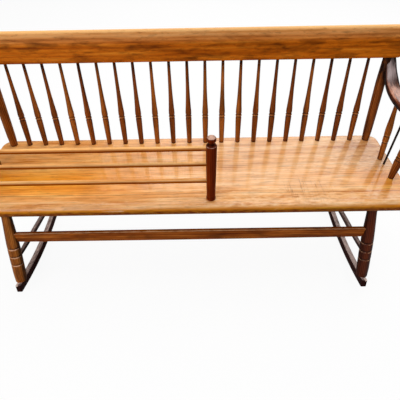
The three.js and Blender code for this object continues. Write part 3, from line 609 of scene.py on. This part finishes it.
def through(points, count):
    """Points evenly along a smooth curve through the given ones: on each stretch the cubic whose slope at a point
    comes from the point before and the one after, with the square root of each chord as its time, and the ends
    carried on past the last chord."""
    ends = np.vstack([2 * points[0] - points[1], points, 2 * points[-1] - points[-2]])
    t = np.linspace(0, 1, 60, endpoint=False)[:, None]
    stretches = []
    for p0, p1, p2, p3 in zip(ends[:-3], ends[1:-2], ends[2:-1], ends[3:]):
        a, b, c = (math.sqrt(np.linalg.norm(q - p)) for p, q in ((p0, p1), (p1, p2), (p2, p3)))
        leave = ((p1 - p0) / a - (p2 - p0) / (a + b) + (p2 - p1) / b) * b
        arrive = ((p2 - p1) / b - (p3 - p1) / (b + c) + (p3 - p2) / c) * b
        bend = 2 * p1 - 2 * p2 + leave + arrive
        drift = -3 * p1 + 3 * p2 - 2 * leave - arrive
        stretches.append(p1 + leave * t + drift * t ** 2 + bend * t ** 3)
    fine = np.vstack(stretches + [points[-1:]])
    run = np.r_[0, np.cumsum(np.linalg.norm(np.diff(fine, axis=0), axis=1))]
    share = np.linspace(0, 1, count)
    even = np.stack([np.interp(share * run[-1], run, part) for part in fine.T], -1)
    return even, share, run[-1]


def make_arms(finish):
    """Each arm is a flat rounded bar swept along the curve through its points, wider towards the front, where a
    quarter circle closes it."""
    for side, sign in SIDES:
        points = np.stack([sign * (ARM_X + ARM_BOW), ARM_REACH, SEAT_TOP + ARM_RISE], -1)
        middle, share, length = through(points, count=110)
        ahead = np.gradient(middle, axis=0)
        ahead[:, 0] = 0
        across = [1, 0, 0]
        up = np.cross(level(ahead), across)
        tip = drawn_in((1 - share) * length, ARM_TIP)
        wide = np.interp(share, *np.array(ARM_WIDE_BY).T) * ARM_WIDE - tip
        thick = np.interp(share, *np.array(ARM_THICK_BY).T) * ARM_THICK - tip
        thick = np.maximum(thick, ARM_THINNEST)
        edge = thick * (0.5 + 0.42 * rise(share, 0, 0.14))
        rings = bar(middle, across, up, wide, thick, edge, edge, steps=7)[::-1]
        off = rings - middle[::-1, None]
        above = (off * up[::-1, None]).sum(-1)
        run = np.broadcast_to((share * length)[::-1, None], above.shape)
        grain = np.stack([run, off[..., 0], above], -1)
        above = above / ARM_THICK
        share = share[::-1, None]
        # A painted highlight along the top, strongest in the middle, with some wear
        wear_and_highlight = rise(above, 0.2, 0.9) * (0.1 + 0.5 * swell(share, 0.36, 0.13) + 0.2 * rise(share, 0.4, 0.6))
        # Painted shade on the sides and underside, and a painted dark edge on the outer side at the rear
        by_edge = rise(sign * off[..., 0] / wide[::-1, None], 0.4, 0.66) * (1 - rise(share, 0.25, 0.4))
        grime_and_shade = 1.25 * np.maximum(1 - rise(above, 0.2, 0.75), by_edge)
        # A painted grey sheen on the rear top
        tone_and_light = 1 - rise(above, 0.4, 0.9) * (1 - rise(share, 0.15, 0.26))
        placed(f"arm_rest_{side}", skinned(rings, grain, wear_and_highlight, grime_and_shade, tone_and_light), [f"arm_{side}"], finish)


def make_arm_stands(finish, iron):
    """A spindle and a post turned about a leaning line under each arm, and a plain rod under the right one."""
    for side, sign in SIDES:
        for kind, (foot, head, table, radius, grooves, tone_and_light) in ARM_STANDS.items():
            foot, head = (np.array(end) * [sign, 1, 1] + [0, 0, SEAT_TOP] for end in (foot, head))
            rings, grain, share = plugged(foot, head, table, radius, SEAT_PLUG, ARM_PLUG)
            # Painted highlights on the lips above the grooves
            wear_and_highlight = sum(swell(share, g + 0.016, 0.012) for g in grooves)[:, None] * 0.7
            # Darker grooves, a dark foot ring and painted shade on the flanks
            grime_and_shade = sum(swell(share, g, 0.009) for g in grooves) + swell(share, 0, 0.015) * 0.7
            grime_and_shade = np.clip(grime_and_shade[:, None] + shaded_flanks(grain), 0, 1)
            name = f"arm_{kind}_{side}"
            placed("under_" + name, skinned(rings, grain, wear_and_highlight, grime_and_shade, tone_and_light), [name], finish)
    even = [[0, 1], [0.5, 1], [1, 1]]
    rings, grain, _ = plugged(BRACE_FOOT, BRACE_HEAD, even, BRACE_RADIUS, SEAT_PLUG, ARM_PLUG, count=30, around=16)
    placed("brace_rod", skinned(rings, grain), ["arm_brace_rod_right"], iron)


# Base

def rocker_height(radius, y):
    """Height of the arc of that radius about the rocker's centre, which stands so that the rocker's flat is at 0."""
    return ROCKER_CENTRE - np.sqrt(radius ** 2 - (y - ROCKER_LOW) ** 2)


def make_rockers(finish):
    """A bar bent to an arc: at each station its lower face is on the outer radius and its upper one a board's height
    nearer the centre, and the height draws in to a blunt nose at both ends. The underside is level over the flat."""
    y = from_ends(ROCKER_REACH, ROCKER_NOSE, count=120, fine=12)
    near = ROCKER_REACH - np.abs(y)
    angle = np.arcsin((y - ROCKER_LOW) / (ROCKER_RADIUS - ROCKER_TALL / 2))
    up = np.stack([0 * y, -np.sin(angle), np.cos(angle)], -1)
    low, high = (drawn_in(near, nose) for nose in (ROCKER_NOSE, ROCKER_NOSE / 2))
    radius = ROCKER_RADIUS - ROCKER_TALL / 2 - (low - high)[:, None] / 2
    tall = (ROCKER_TALL - low - high) / 2
    wide = ROCKER_THICK / 2 - drawn_in(near, ROCKER_TAPER)
    for side, sign in SIDES:
        middle = np.array([sign * ROCKER_X, ROCKER_LOW, ROCKER_CENTRE]) - up * radius
        rings = bar(middle, [1, 0, 0], up, wide, tall, ROCKER_EDGE, ROCKER_EDGE, steps=4)[::-1]
        rings[..., 2] = np.maximum(rings[..., 2], 0)
        off = ((rings - middle[::-1, None]) * up[::-1, None]).sum(-1)
        along = np.broadcast_to((angle * ROCKER_RADIUS)[::-1, None], off.shape)
        grain = np.stack([along, off, rings[..., 0]], -1)
        tips = rise(np.abs(rings[..., 1]), ROCKER_REACH - 0.022, ROCKER_REACH - 0.016)
        outer = rise(np.abs(rings[..., 0]) - ROCKER_X, -0.004, 0.001)
        top, under = rise(off, 0.0145, 0.0168), rise(-off, 0.0145, 0.0168)
        # A pale chip at each nose, a painted sheen along the top and wear on the underside
        wear_and_highlight = tips * outer * rise(off, 0.011, 0.0145) * 1.1 + top * (1 - tips) * 0.4 + under * 0.4
        grime_and_shade = tips * (1 - outer * rise(off, 0.009, 0.0125)) * 0.8
        name = f"rocker_{side}"
        # Tone 0, the grey row, on the top: painted sheen
        mesh = skinned(rings, grain, np.clip(wear_and_highlight, 0, 1), grime_and_shade, 1 - top)
        placed("bent_" + name, mesh, [name], finish)


def leg_line(sign, top_x, top_y, foot_y):
    """Top of a leg's line on the seat's underside, and its foot on the rocker's upper arc."""
    foot_z = rocker_height(ROCKER_RADIUS - ROCKER_TALL, foot_y)
    return np.array([sign * top_x, top_y, SEAT_TOP - SEAT_THICK]), np.array([sign * ROCKER_X, foot_y, foot_z])


def leg_mesh(top, base, tone_and_light):
    """A splayed leg: its outline turned about its line and run on a little at both ends, the shoulder slid back to
    the seat's underside, the foot slid back to the rocker's upper face, and a round tenon on both."""
    length = np.linalg.norm(base - top)
    share = stations(LEG, 60)
    wide = eased(LEG, share) * LEG_RADIUS
    heights = np.r_[-LEG_TENON_LONG, -LEG_SPARE, -LEG_SPARE, share * length, length + LEG_SPARE, length + LEG_SPARE,
                    length + FOOT_TENON_LONG]
    radii = np.r_[LEG_TENON, LEG_TENON, wide[0], wide, wide[-1], FOOT_TENON, FOOT_TENON]
    rings, grain = turned(top, base, heights, radii)
    along = level(base - top)
    body = rings[1:-1]
    over_seat = body[..., 2] - (SEAT_TOP - SEAT_THICK - FIT)
    body = body - along * np.clip(over_seat, 0, None)[..., None] / along[2]
    for _ in range(3):
        under = rocker_height(ROCKER_RADIUS - ROCKER_TALL - FIT, body[..., 1]) - body[..., 2]
        body = body + along * np.clip(under, 0, None)[..., None] / along[2]
    rings = np.concatenate([rings[:1], body, rings[-1:]])
    share = np.r_[0, 0, 0, share, 1, 1, 1][:, None]
    turn = np.arctan2(grain[..., 2], grain[..., 1])
    # How strong wear and a painted highlight are on the lips below the rings, fading round the sides
    bared_and_highlit = 0.74 - 0.22 * tone_and_light + 0.18 * np.cos(2 * turn + 4.518 + tone_and_light)
    lips = sum(swell(share, g + 0.008, 0.008) for g in LEG_RINGS) * bared_and_highlit
    # Dark lines above the rings and a painted shadow under the seat
    grooves = sum(swell(share, g - 0.009, 0.008) for g in LEG_RINGS) + 0.8 * swell(share, 0, 0.05)
    # Wear with a painted highlight low on the left legs, and painted shade on the flanks, heavier on the left legs
    wear_and_highlight = np.clip(lips + rise(share, 0.8, 1) * 0.15 * (1 - tone_and_light), 0, 1)
    grime_and_shade = np.clip(grooves + shaded_flanks(grain, 0.95 - 0.45 * tone_and_light), 0, 1)
    return skinned(rings, grain, wear_and_highlight, grime_and_shade, tone_and_light)


def make_legs(finish):
    """Four legs with one outline, the left ones pale and the right ones dark, which is partly painted shade."""
    for side, sign in SIDES:
        for end, line in LEG_LINES.items():
            name = f"leg_{end}_{side}"
            mesh = leg_mesh(*leg_line(sign, *line), LEG_TONES_AND_SHADE[side])
            placed("turned_" + name, mesh, [name], finish, sharp=40)


def make_boards(finish):
    """Boards between the legs: a little deeper in the middle on a parabola, and tapered beyond their shoulders."""
    for end, height in BOARD_HEIGHTS.items():
        top, base = leg_line(1, *LEG_LINES[end])
        centre = top + (base - top) * (top[2] - height) / (top[2] - base[2])
        half = centre[0] - BOARD_ENDS
        shoulder = centre[0] - BOARD_TENON
        inner = half - BOARD_FINE
        x = np.r_[np.linspace(-half, -inner, 10), np.linspace(-inner, inner, 90)[1:-1], np.linspace(inner, half, 10)]
        bow = BOARD_BOW * (1 - np.clip(np.abs(x) / shoulder, 0, 1) ** 2)
        cut = BOARD_TENON_CUT * (np.abs(x) - shoulder) / BOARD_TENON
        tall = BOARD_TALL / 2 + np.where(np.abs(x) > shoulder, -cut, bow)
        middle = np.stack([x, x * 0 + centre[1], x * 0 + height], -1)
        rings = bar(middle, [0, 1, 0], [0, 0, 1], BOARD_THICK / 2, tall, BOARD_EDGE_LOW, BOARD_EDGE_HIGH, steps=3)
        top_edge = rise(rings[..., 2] - height - tall[:, None], -0.0022, -0.0004)
        front_lip = top_edge * rise(-rings[..., 1] + centre[1], 0.003, 0.0055)
        # A painted highlight on the front lip of the top edge, and the top edge a little darker
        mesh = skinned(rings, rings[..., [0, 2, 1]], front_lip * 0.75, top_edge * 0.2, 0.3)
        placed(f"board_{end}", mesh, [f"{end}_stretcher"], finish)


def make_side_rods(finish):
    """Rods turned about the line from a share of the front leg to a share of the rear one, between their faces."""
    for side, sign in SIDES:
        ends = []
        for end, share in ROD_PLACES:
            top, base = leg_line(sign, *LEG_LINES[end])
            ends.append((top + (base - top) * share, np.interp(share, *np.array(LEG).T) * LEG_RADIUS))
        (foot, near), (head, far) = ends
        along = level(head - foot)
        rings, grain, _ = plugged(foot + along * near, head - along * far, SIDE_ROD, ROD_RADIUS, ROD_PLUG, ROD_PLUG)
        # A painted sheen on the top of the rod
        top = rise(rings[..., 2] - rings[..., 2].mean(1, keepdims=True), 0.002, 0.009)
        mesh = skinned(rings, grain, top * 0.35, 0, 1 - top)
        placed(f"side_rod_{side}", mesh, [f"side_stretcher_{side}"], finish)


# Guard

def make_guard(post_finish, rail_finish):
    """Two posts turned with a button at the head and a pin at the foot, and three slim turned rails."""
    share = stations(GUARD_POST, 60)
    wide = eased(GUARD_POST, share) * GUARD_POST_RADIUS
    heights = np.r_[-GUARD_PIN_LONG, 0, share * GUARD_POST_TALL]
    radii = np.r_[GUARD_PIN_RADIUS * PLUG_SHARE, GUARD_PIN_RADIUS, wide]
    # A dark groove near the foot and painted shade on the neck under the button
    grooves = swell(share, 0.045, 0.008) * 0.6 + swell(share, 0.9, 0.02)
    # Painted highlights on the button's top and on its shoulder
    wear_and_highlight = np.r_[0, 0, rise(share, 0.975, 0.992) * 0.8 + swell(share, 0.874, 0.006) * 0.6][:, None]
    for (side, _), x in zip(SIDES, GUARD_POSTS):
        foot = np.array([x, GUARD_Y, SEAT_TOP + FIT])
        rings, grain = turned(foot, foot + [0, 0, 1], heights, radii, around=36)
        # Painted shade on the flanks
        grime_and_shade = np.clip(np.r_[0, 0, grooves][:, None] + shaded_flanks(grain), 0, 1)
        name = f"post_{side}"
        mesh = skinned(rings, grain, wear_and_highlight, grime_and_shade)
        placed("button_" + name, mesh, ["guard_" + name], post_finish, body="guard", sharp=60)
    start = GUARD_POSTS[0] + GUARD_POST_RADIUS - GUARD_RAIL_PLUG
    stop = GUARD_POSTS[1] - GUARD_POST_RADIUS + GUARD_RAIL_PLUG
    for place, height in GUARD_RAIL_HEIGHTS.items():
        foot, head = (np.array([x, GUARD_Y, SEAT_TOP + height]) for x in (start, stop))
        rings, grain, _ = plugged(foot, head, GUARD_RAIL, GUARD_RAIL_RADIUS, GUARD_RAIL_PLUG, GUARD_RAIL_PLUG,
                                  count=60, around=24)
        # Lit top and shaded underside: painted light and shade
        tone_and_light = 1 - rise((rings[..., 2] - foot[2]) / GUARD_RAIL_RADIUS, 0.1, 0.95)
        name = f"rail_{place}"
        mesh = skinned(rings, grain, 0.1, 0, tone_and_light)
        placed("slim_" + name, mesh, ["guard_" + name], rail_finish, body="guard")


# Finishes

def tint(seen):
    """A colour as it is seen, from 0 to 255, as the linear colour that light is worked out with."""
    seen = np.array(seen) / 255
    linear = np.where(seen <= 0.04045, seen / 12.92, ((seen + 0.055) / 1.055) ** 2.4)
    return (*linear.tolist(), 1.0)


class Nodes:
    """The shading nodes of a material or of the world. When a node is made or filled, a word that starts with a
    capital is one of its inputs, with _ for a blank, and any other word is a setting of its own."""

    def __init__(self, holder):
        holder.use_nodes = True
        self.tree = holder.node_tree

    def give(self, sockets, values):
        """Each socket takes a number, a colour or another node's output."""
        for socket, value in zip(sockets, values):
            if isinstance(value, bpy.types.NodeSocket):
                self.tree.links.new(value, socket)
            else:
                socket.default_value = value

    def fill(self, node, **values):
        for key, value in values.items():
            if key[0].isupper():
                self.give([node.inputs[key.replace("_", " ")]], [value])
            else:
                setattr(node, key, value)
        return node

    def new(self, kind, **values):
        return self.fill(self.tree.nodes.new("ShaderNode" + kind), **values)

    def read(self, key, kind="Fac"):
        """What the mesh stores at its points under that name."""
        return self.new("Attribute", attribute_name=key).outputs[kind]

    def stretched(self, vector, scale, shift=(0, 0, 0)):
        return self.new("Mapping", Vector=vector, Scale=scale, Location=shift).outputs["Vector"]

    def noise(self, vector, detail=3.0, warp=0.0):
        return self.new("TexNoise", Vector=vector, Scale=1.0, Detail=detail, Distortion=warp).outputs["Fac"]

    def maths(self, operation, *values):
        node = self.new("Math", operation=operation)
        self.give(node.inputs, values)
        return node.outputs[0]

    def times(self, *values):
        return self.maths("MULTIPLY", *values)

    def spread(self, value, low, high, to_low=0.0, to_high=1.0):
        """The value with low to high laid evenly over to_low to to_high, and no further."""
        node = self.new("MapRange", Value=value, From_Min=low, From_Max=high, To_Min=to_low, To_Max=to_high)
        return node.outputs["Result"]

    def ramp(self, value, places, colours):
        node = self.new("ValToRGB", Fac=value)
        steps = node.color_ramp.elements
        while len(steps) < len(places):
            steps.new(0.5)
        for step, place, colour in zip(steps, places, colours):
            step.position, step.color = place, tint(colour)
        return node.outputs["Color"]

    def mixed(self, share, first, second):
        node = self.new("Mix", data_type="RGBA")
        self.give([s for s in node.inputs if s.enabled], (share, first, second))
        return next(s for s in node.outputs if s.enabled)

    def bump(self, height, strength, distance):
        return self.new("Bump", Height=height, Strength=strength, Distance=distance).outputs["Normal"]

    def close(self, output, share, first, second):
        """Ends the tree in a mix of two shaders."""
        mix = self.new("MixShader")
        self.give(mix.inputs, (share, first.outputs[0], second.outputs[0]))
        self.new(output, Surface=mix.outputs[0])


def wood(name, low_tone_and_light, high_tone_and_light, wear_and_highlight, grime_and_shade, rough, shine, coat=(0.0, 0.2), pitch=60, figure=0.25, fibre=0.3,
         cloud=0.5, knots=0.0, joint=None, flow=(2.2, 48), mottle=(8, 34), dash=(24, 420), clear=1.0, scars=()):
    """Wood under varnish. How light it is goes by the growth lines, bands across the board that long slow noise
    bends, and by streaks of noise drawn out along the grain; the figure is the share of the lines. The tone mixes two
    rows of colours; on some pieces it is painted light: a lit top, a sheen or a shaded side. Wide clouds and
    fibres, of which only the clear share is kept at tone 0, knots, a glued joint at that Y and scars, patches of thin
    scratches where a drawn out noise crosses its middle, darken it. Flow, mottle and dash say how closely streaks,
    clouds and fibres change along and across the grain. Wear, on many pieces also painted highlight and sheen,
    shows where the point's own share of it and a ragged noise together pass a limit, so a low share gives specks.
    Grime, on many pieces also painted shade, follows that noise too and dulls the varnish."""
    made = bpy.data.materials.new(name)
    nodes = Nodes(made)
    surface = nodes.tree.nodes["Principled BSDF"]
    nodes.fill(surface, Roughness=rough[0], Coat_Weight=coat[0], Coat_Roughness=coat[1], Specular_IOR_Level=shine)
    wear_and_highlight, grime_and_shade = tint(wear_and_highlight), tint(grime_and_shade)
    grain, tone_and_light, soil_and_shade = nodes.read("grain", "Vector"), nodes.read("tone_and_light"), nodes.read("grime_and_shade")
    lines = nodes.new("TexWave", bands_direction="Y", Vector=nodes.stretched(grain, (0.5, pitch, pitch * 0.35)),
                      Scale=1.0, Distortion=6.0, Detail=2.0, Detail_Scale=1.2).outputs["Fac"]
    streaks = nodes.noise(nodes.stretched(grain, (*flow, flow[1])), 8.0, 0.2)
    clouds = nodes.noise(nodes.stretched(grain, (*mottle, mottle[1]), (3, 1, 7)), 9.0, 0.3)
    fibres = nodes.noise(nodes.stretched(grain, (*dash, dash[1])))
    ragged = nodes.noise(nodes.stretched(grain, (46, 150, 150)), 4.0)
    both = nodes.maths("ADD", nodes.times(lines, figure), nodes.times(streaks, 1 - figure))
    light = nodes.spread(both, 0.28, 0.7)
    colour = nodes.mixed(tone_and_light, nodes.ramp(light, LINE_PLACES, low_tone_and_light), nodes.ramp(light, LINE_PLACES, high_tone_and_light))
    kept = nodes.spread(tone_and_light, 0.0, 1.0, clear, 1.0)
    shades = [nodes.times(nodes.spread(clouds, 0.46, 0.7, 0.0, cloud), kept),
              nodes.times(nodes.spread(fibres, 0.5, 0.75, 0.0, fibre), kept)]
    if knots:
        eyes = nodes.new("TexVoronoi", Vector=nodes.stretched(grain, (3.4, 21, 21), (0.4, 0.2, 0.6)), Scale=1.0)
        shades.append(nodes.spread(eyes.outputs["Distance"], 0.1, 0.03, 0.0, knots))
    if joint:
        apart = nodes.maths("SUBTRACT", nodes.new("SeparateXYZ", Vector=grain).outputs["Y"], joint)
        shades.append(nodes.spread(nodes.maths("ABSOLUTE", apart), 0.0016, 0.0006, 0.0, 0.55))
    for drawn, patch, shift in scars:
        off = nodes.maths("SUBTRACT", nodes.noise(nodes.stretched(grain, drawn), 2.0, 0.3), 0.5)
        thin = nodes.spread(nodes.maths("ABSOLUTE", off), 0.022, 0.0, 0.1, 0.6)
        ball = nodes.new("TexGradient", gradient_type="SPHERICAL", Vector=nodes.stretched(grain, patch, shift))
        shades.append(nodes.times(nodes.spread(ball.outputs["Fac"], 0.0, 0.5), thin))
    shades.append(nodes.spread(ragged, 0.43, 0.28, 0.0, fibre * 0.7))
    for shade in shades:
        colour = nodes.mixed(shade, colour, grime_and_shade)
    reached = nodes.maths("ADD", nodes.read("wear_and_highlight"), nodes.times(ragged, 0.8))
    colour = nodes.mixed(nodes.spread(reached, 0.72, 1.1), colour, wear_and_highlight)
    # Grime and painted shade, broken up by the ragged noise
    soiled_and_shaded = nodes.times(soil_and_shade, nodes.spread(ragged, 0.7, 0.35, 0.55, 1.0))
    relief = nodes.maths("ADD", nodes.times(fibres, 0.5), both)
    nodes.fill(surface, Base_Color=nodes.mixed(soiled_and_shaded, colour, grime_and_shade), Normal=nodes.bump(relief, 0.18, 0.0005),
               Roughness=nodes.spread(streaks, 0.3, 0.7, *rough),
               Coat_Weight=nodes.spread(soil_and_shade, 0.1, 0.8, coat[0], 0.0))
    return made


def make_iron():
    """Black iron: nearly even, with a brown bloom where slow noise is high."""
    made = bpy.data.materials.new("black iron")
    nodes = Nodes(made)
    bloom = nodes.noise(nodes.stretched(nodes.read("grain", "Vector"), (40, 90, 90)), 4.0)
    colour = nodes.ramp(nodes.spread(bloom, 0.4, 0.8), (0.0, 1.0), ((20, 17, 16), (58, 38, 30)))
    nodes.fill(nodes.tree.nodes["Principled BSDF"], Base_Color=colour, Metallic=0.6,
               Roughness=nodes.spread(bloom, 0.3, 0.8, 0.4, 0.7), Normal=nodes.bump(bloom, 0.2, 0.0004))
    return made


# Studio

def make_floor():
    """A pale floor that shows the object's shadow: matt, and for the camera paler and mostly white of its own."""
    mesh = bpy.data.meshes.new("floor")
    corners = [(x * FLOOR_HALF, y * FLOOR_HALF, 0) for x, y in ((-1, -1), (1, -1), (1, 1), (-1, 1))]
    mesh.from_pydata(corners, [], [(0, 1, 2, 3)])
    floor = linked("floor", mesh)
    material = bpy.data.materials.new("pale floor")
    nodes = Nodes(material)
    nodes.tree.nodes.clear()
    direct = nodes.new("LightPath").outputs["Is Camera Ray"]
    pale, seen = (nodes.spread(direct, 0.0, 1.0, *ends) for ends in (FLOOR_PALE, FLOOR_WHITE))
    white = nodes.new("Emission", Color=(1, 1, 1, 1))
    nodes.close("OutputMaterial", seen, nodes.new("BsdfDiffuse", Color=pale), white)
    mesh.materials.append(material)


def make_world():
    """A soft even world that the camera sees as white."""
    world = bpy.data.worlds.new("studio")
    bpy.context.scene.world = world
    nodes = Nodes(world)
    nodes.tree.nodes.clear()
    soft, white = (nodes.new("Background", Color=(1, 1, 1, 1), Strength=s) for s in (WORLD_STRENGTH, 1.0))
    nodes.close("OutputWorld", nodes.new("LightPath").outputs["Is Camera Ray"], soft, white)


def aim_by(thing, place, right, up, back):
    """Stands a thing at a place by the three directions of its own axes."""
    columns = np.eye(4)
    columns[:3] = np.stack([right, up, back, place], -1)
    thing.matrix_world = Matrix(columns.tolist())


def add_lamp(name, place, aim, size, power):
    """A rectangular lamp that looks at its aim with its upper edge level. The camera doesn't see it."""
    lamp = bpy.data.lights.new(name, "AREA")
    lamp.shape, lamp.size, lamp.size_y, lamp.energy = "RECTANGLE", *size, power
    thing = linked(name, lamp)
    back = level(np.subtract(place, aim))
    right = level(np.cross([0, 0, 1], back))
    aim_by(thing, place, right, np.cross(back, right), back)
    thing.visible_camera = False


def make_camera():
    """The camera that took the photograph, from the spindles' pitch and the seat's outline in it: turned by the yaw
    about Z, tipped down by the dip, and rolled about its line of sight."""
    yaw, dip, roll = (math.radians(a) for a in (CAMERA_YAW, CAMERA_DIP, CAMERA_ROLL))
    ahead = np.array([-math.sin(yaw) * math.cos(dip), math.cos(yaw) * math.cos(dip), -math.sin(dip)])
    flat = np.array([math.cos(yaw), math.sin(yaw), 0])
    steep = np.cross(flat, ahead)
    right = math.cos(roll) * flat + math.sin(roll) * steep
    up = -math.sin(roll) * flat + math.cos(roll) * steep
    lens = bpy.data.cameras.new("camera")
    lens.lens, lens.sensor_width = CAMERA_LENS, CAMERA_SENSOR
    lens.clip_start, lens.clip_end = 0.05, 60
    camera = linked("camera", lens)
    aim_by(camera, CAMERA_PLACE, right, up, -ahead)
    bpy.context.scene.camera = camera


def make_studio():
    """Floor, world and lamps, and colours shown as they are."""
    make_floor()
    make_world()
    for name, lamp in LAMPS.items():
        add_lamp(name, *lamp)
    bpy.context.scene.view_settings.view_transform = "Standard"


finishes = {key: wood(**row) for key, row in WOODS.items()}
finishes["iron"] = make_iron()
make_camera()
make_studio()
make_seat(finishes["seat"])
make_spindles(finishes["spindle"])
make_stiles(finishes["spindle"])
make_crest(finishes["crest"])
make_arms(finishes["arm"])
make_arm_stands(finishes["spindle"], finishes["iron"])
make_rockers(finishes["rocker"])
make_legs(finishes["leg"])
make_boards(finishes["stretcher"])
make_side_rods(finishes["rocker"])
make_guard(finishes["post"], finishes["rail"])
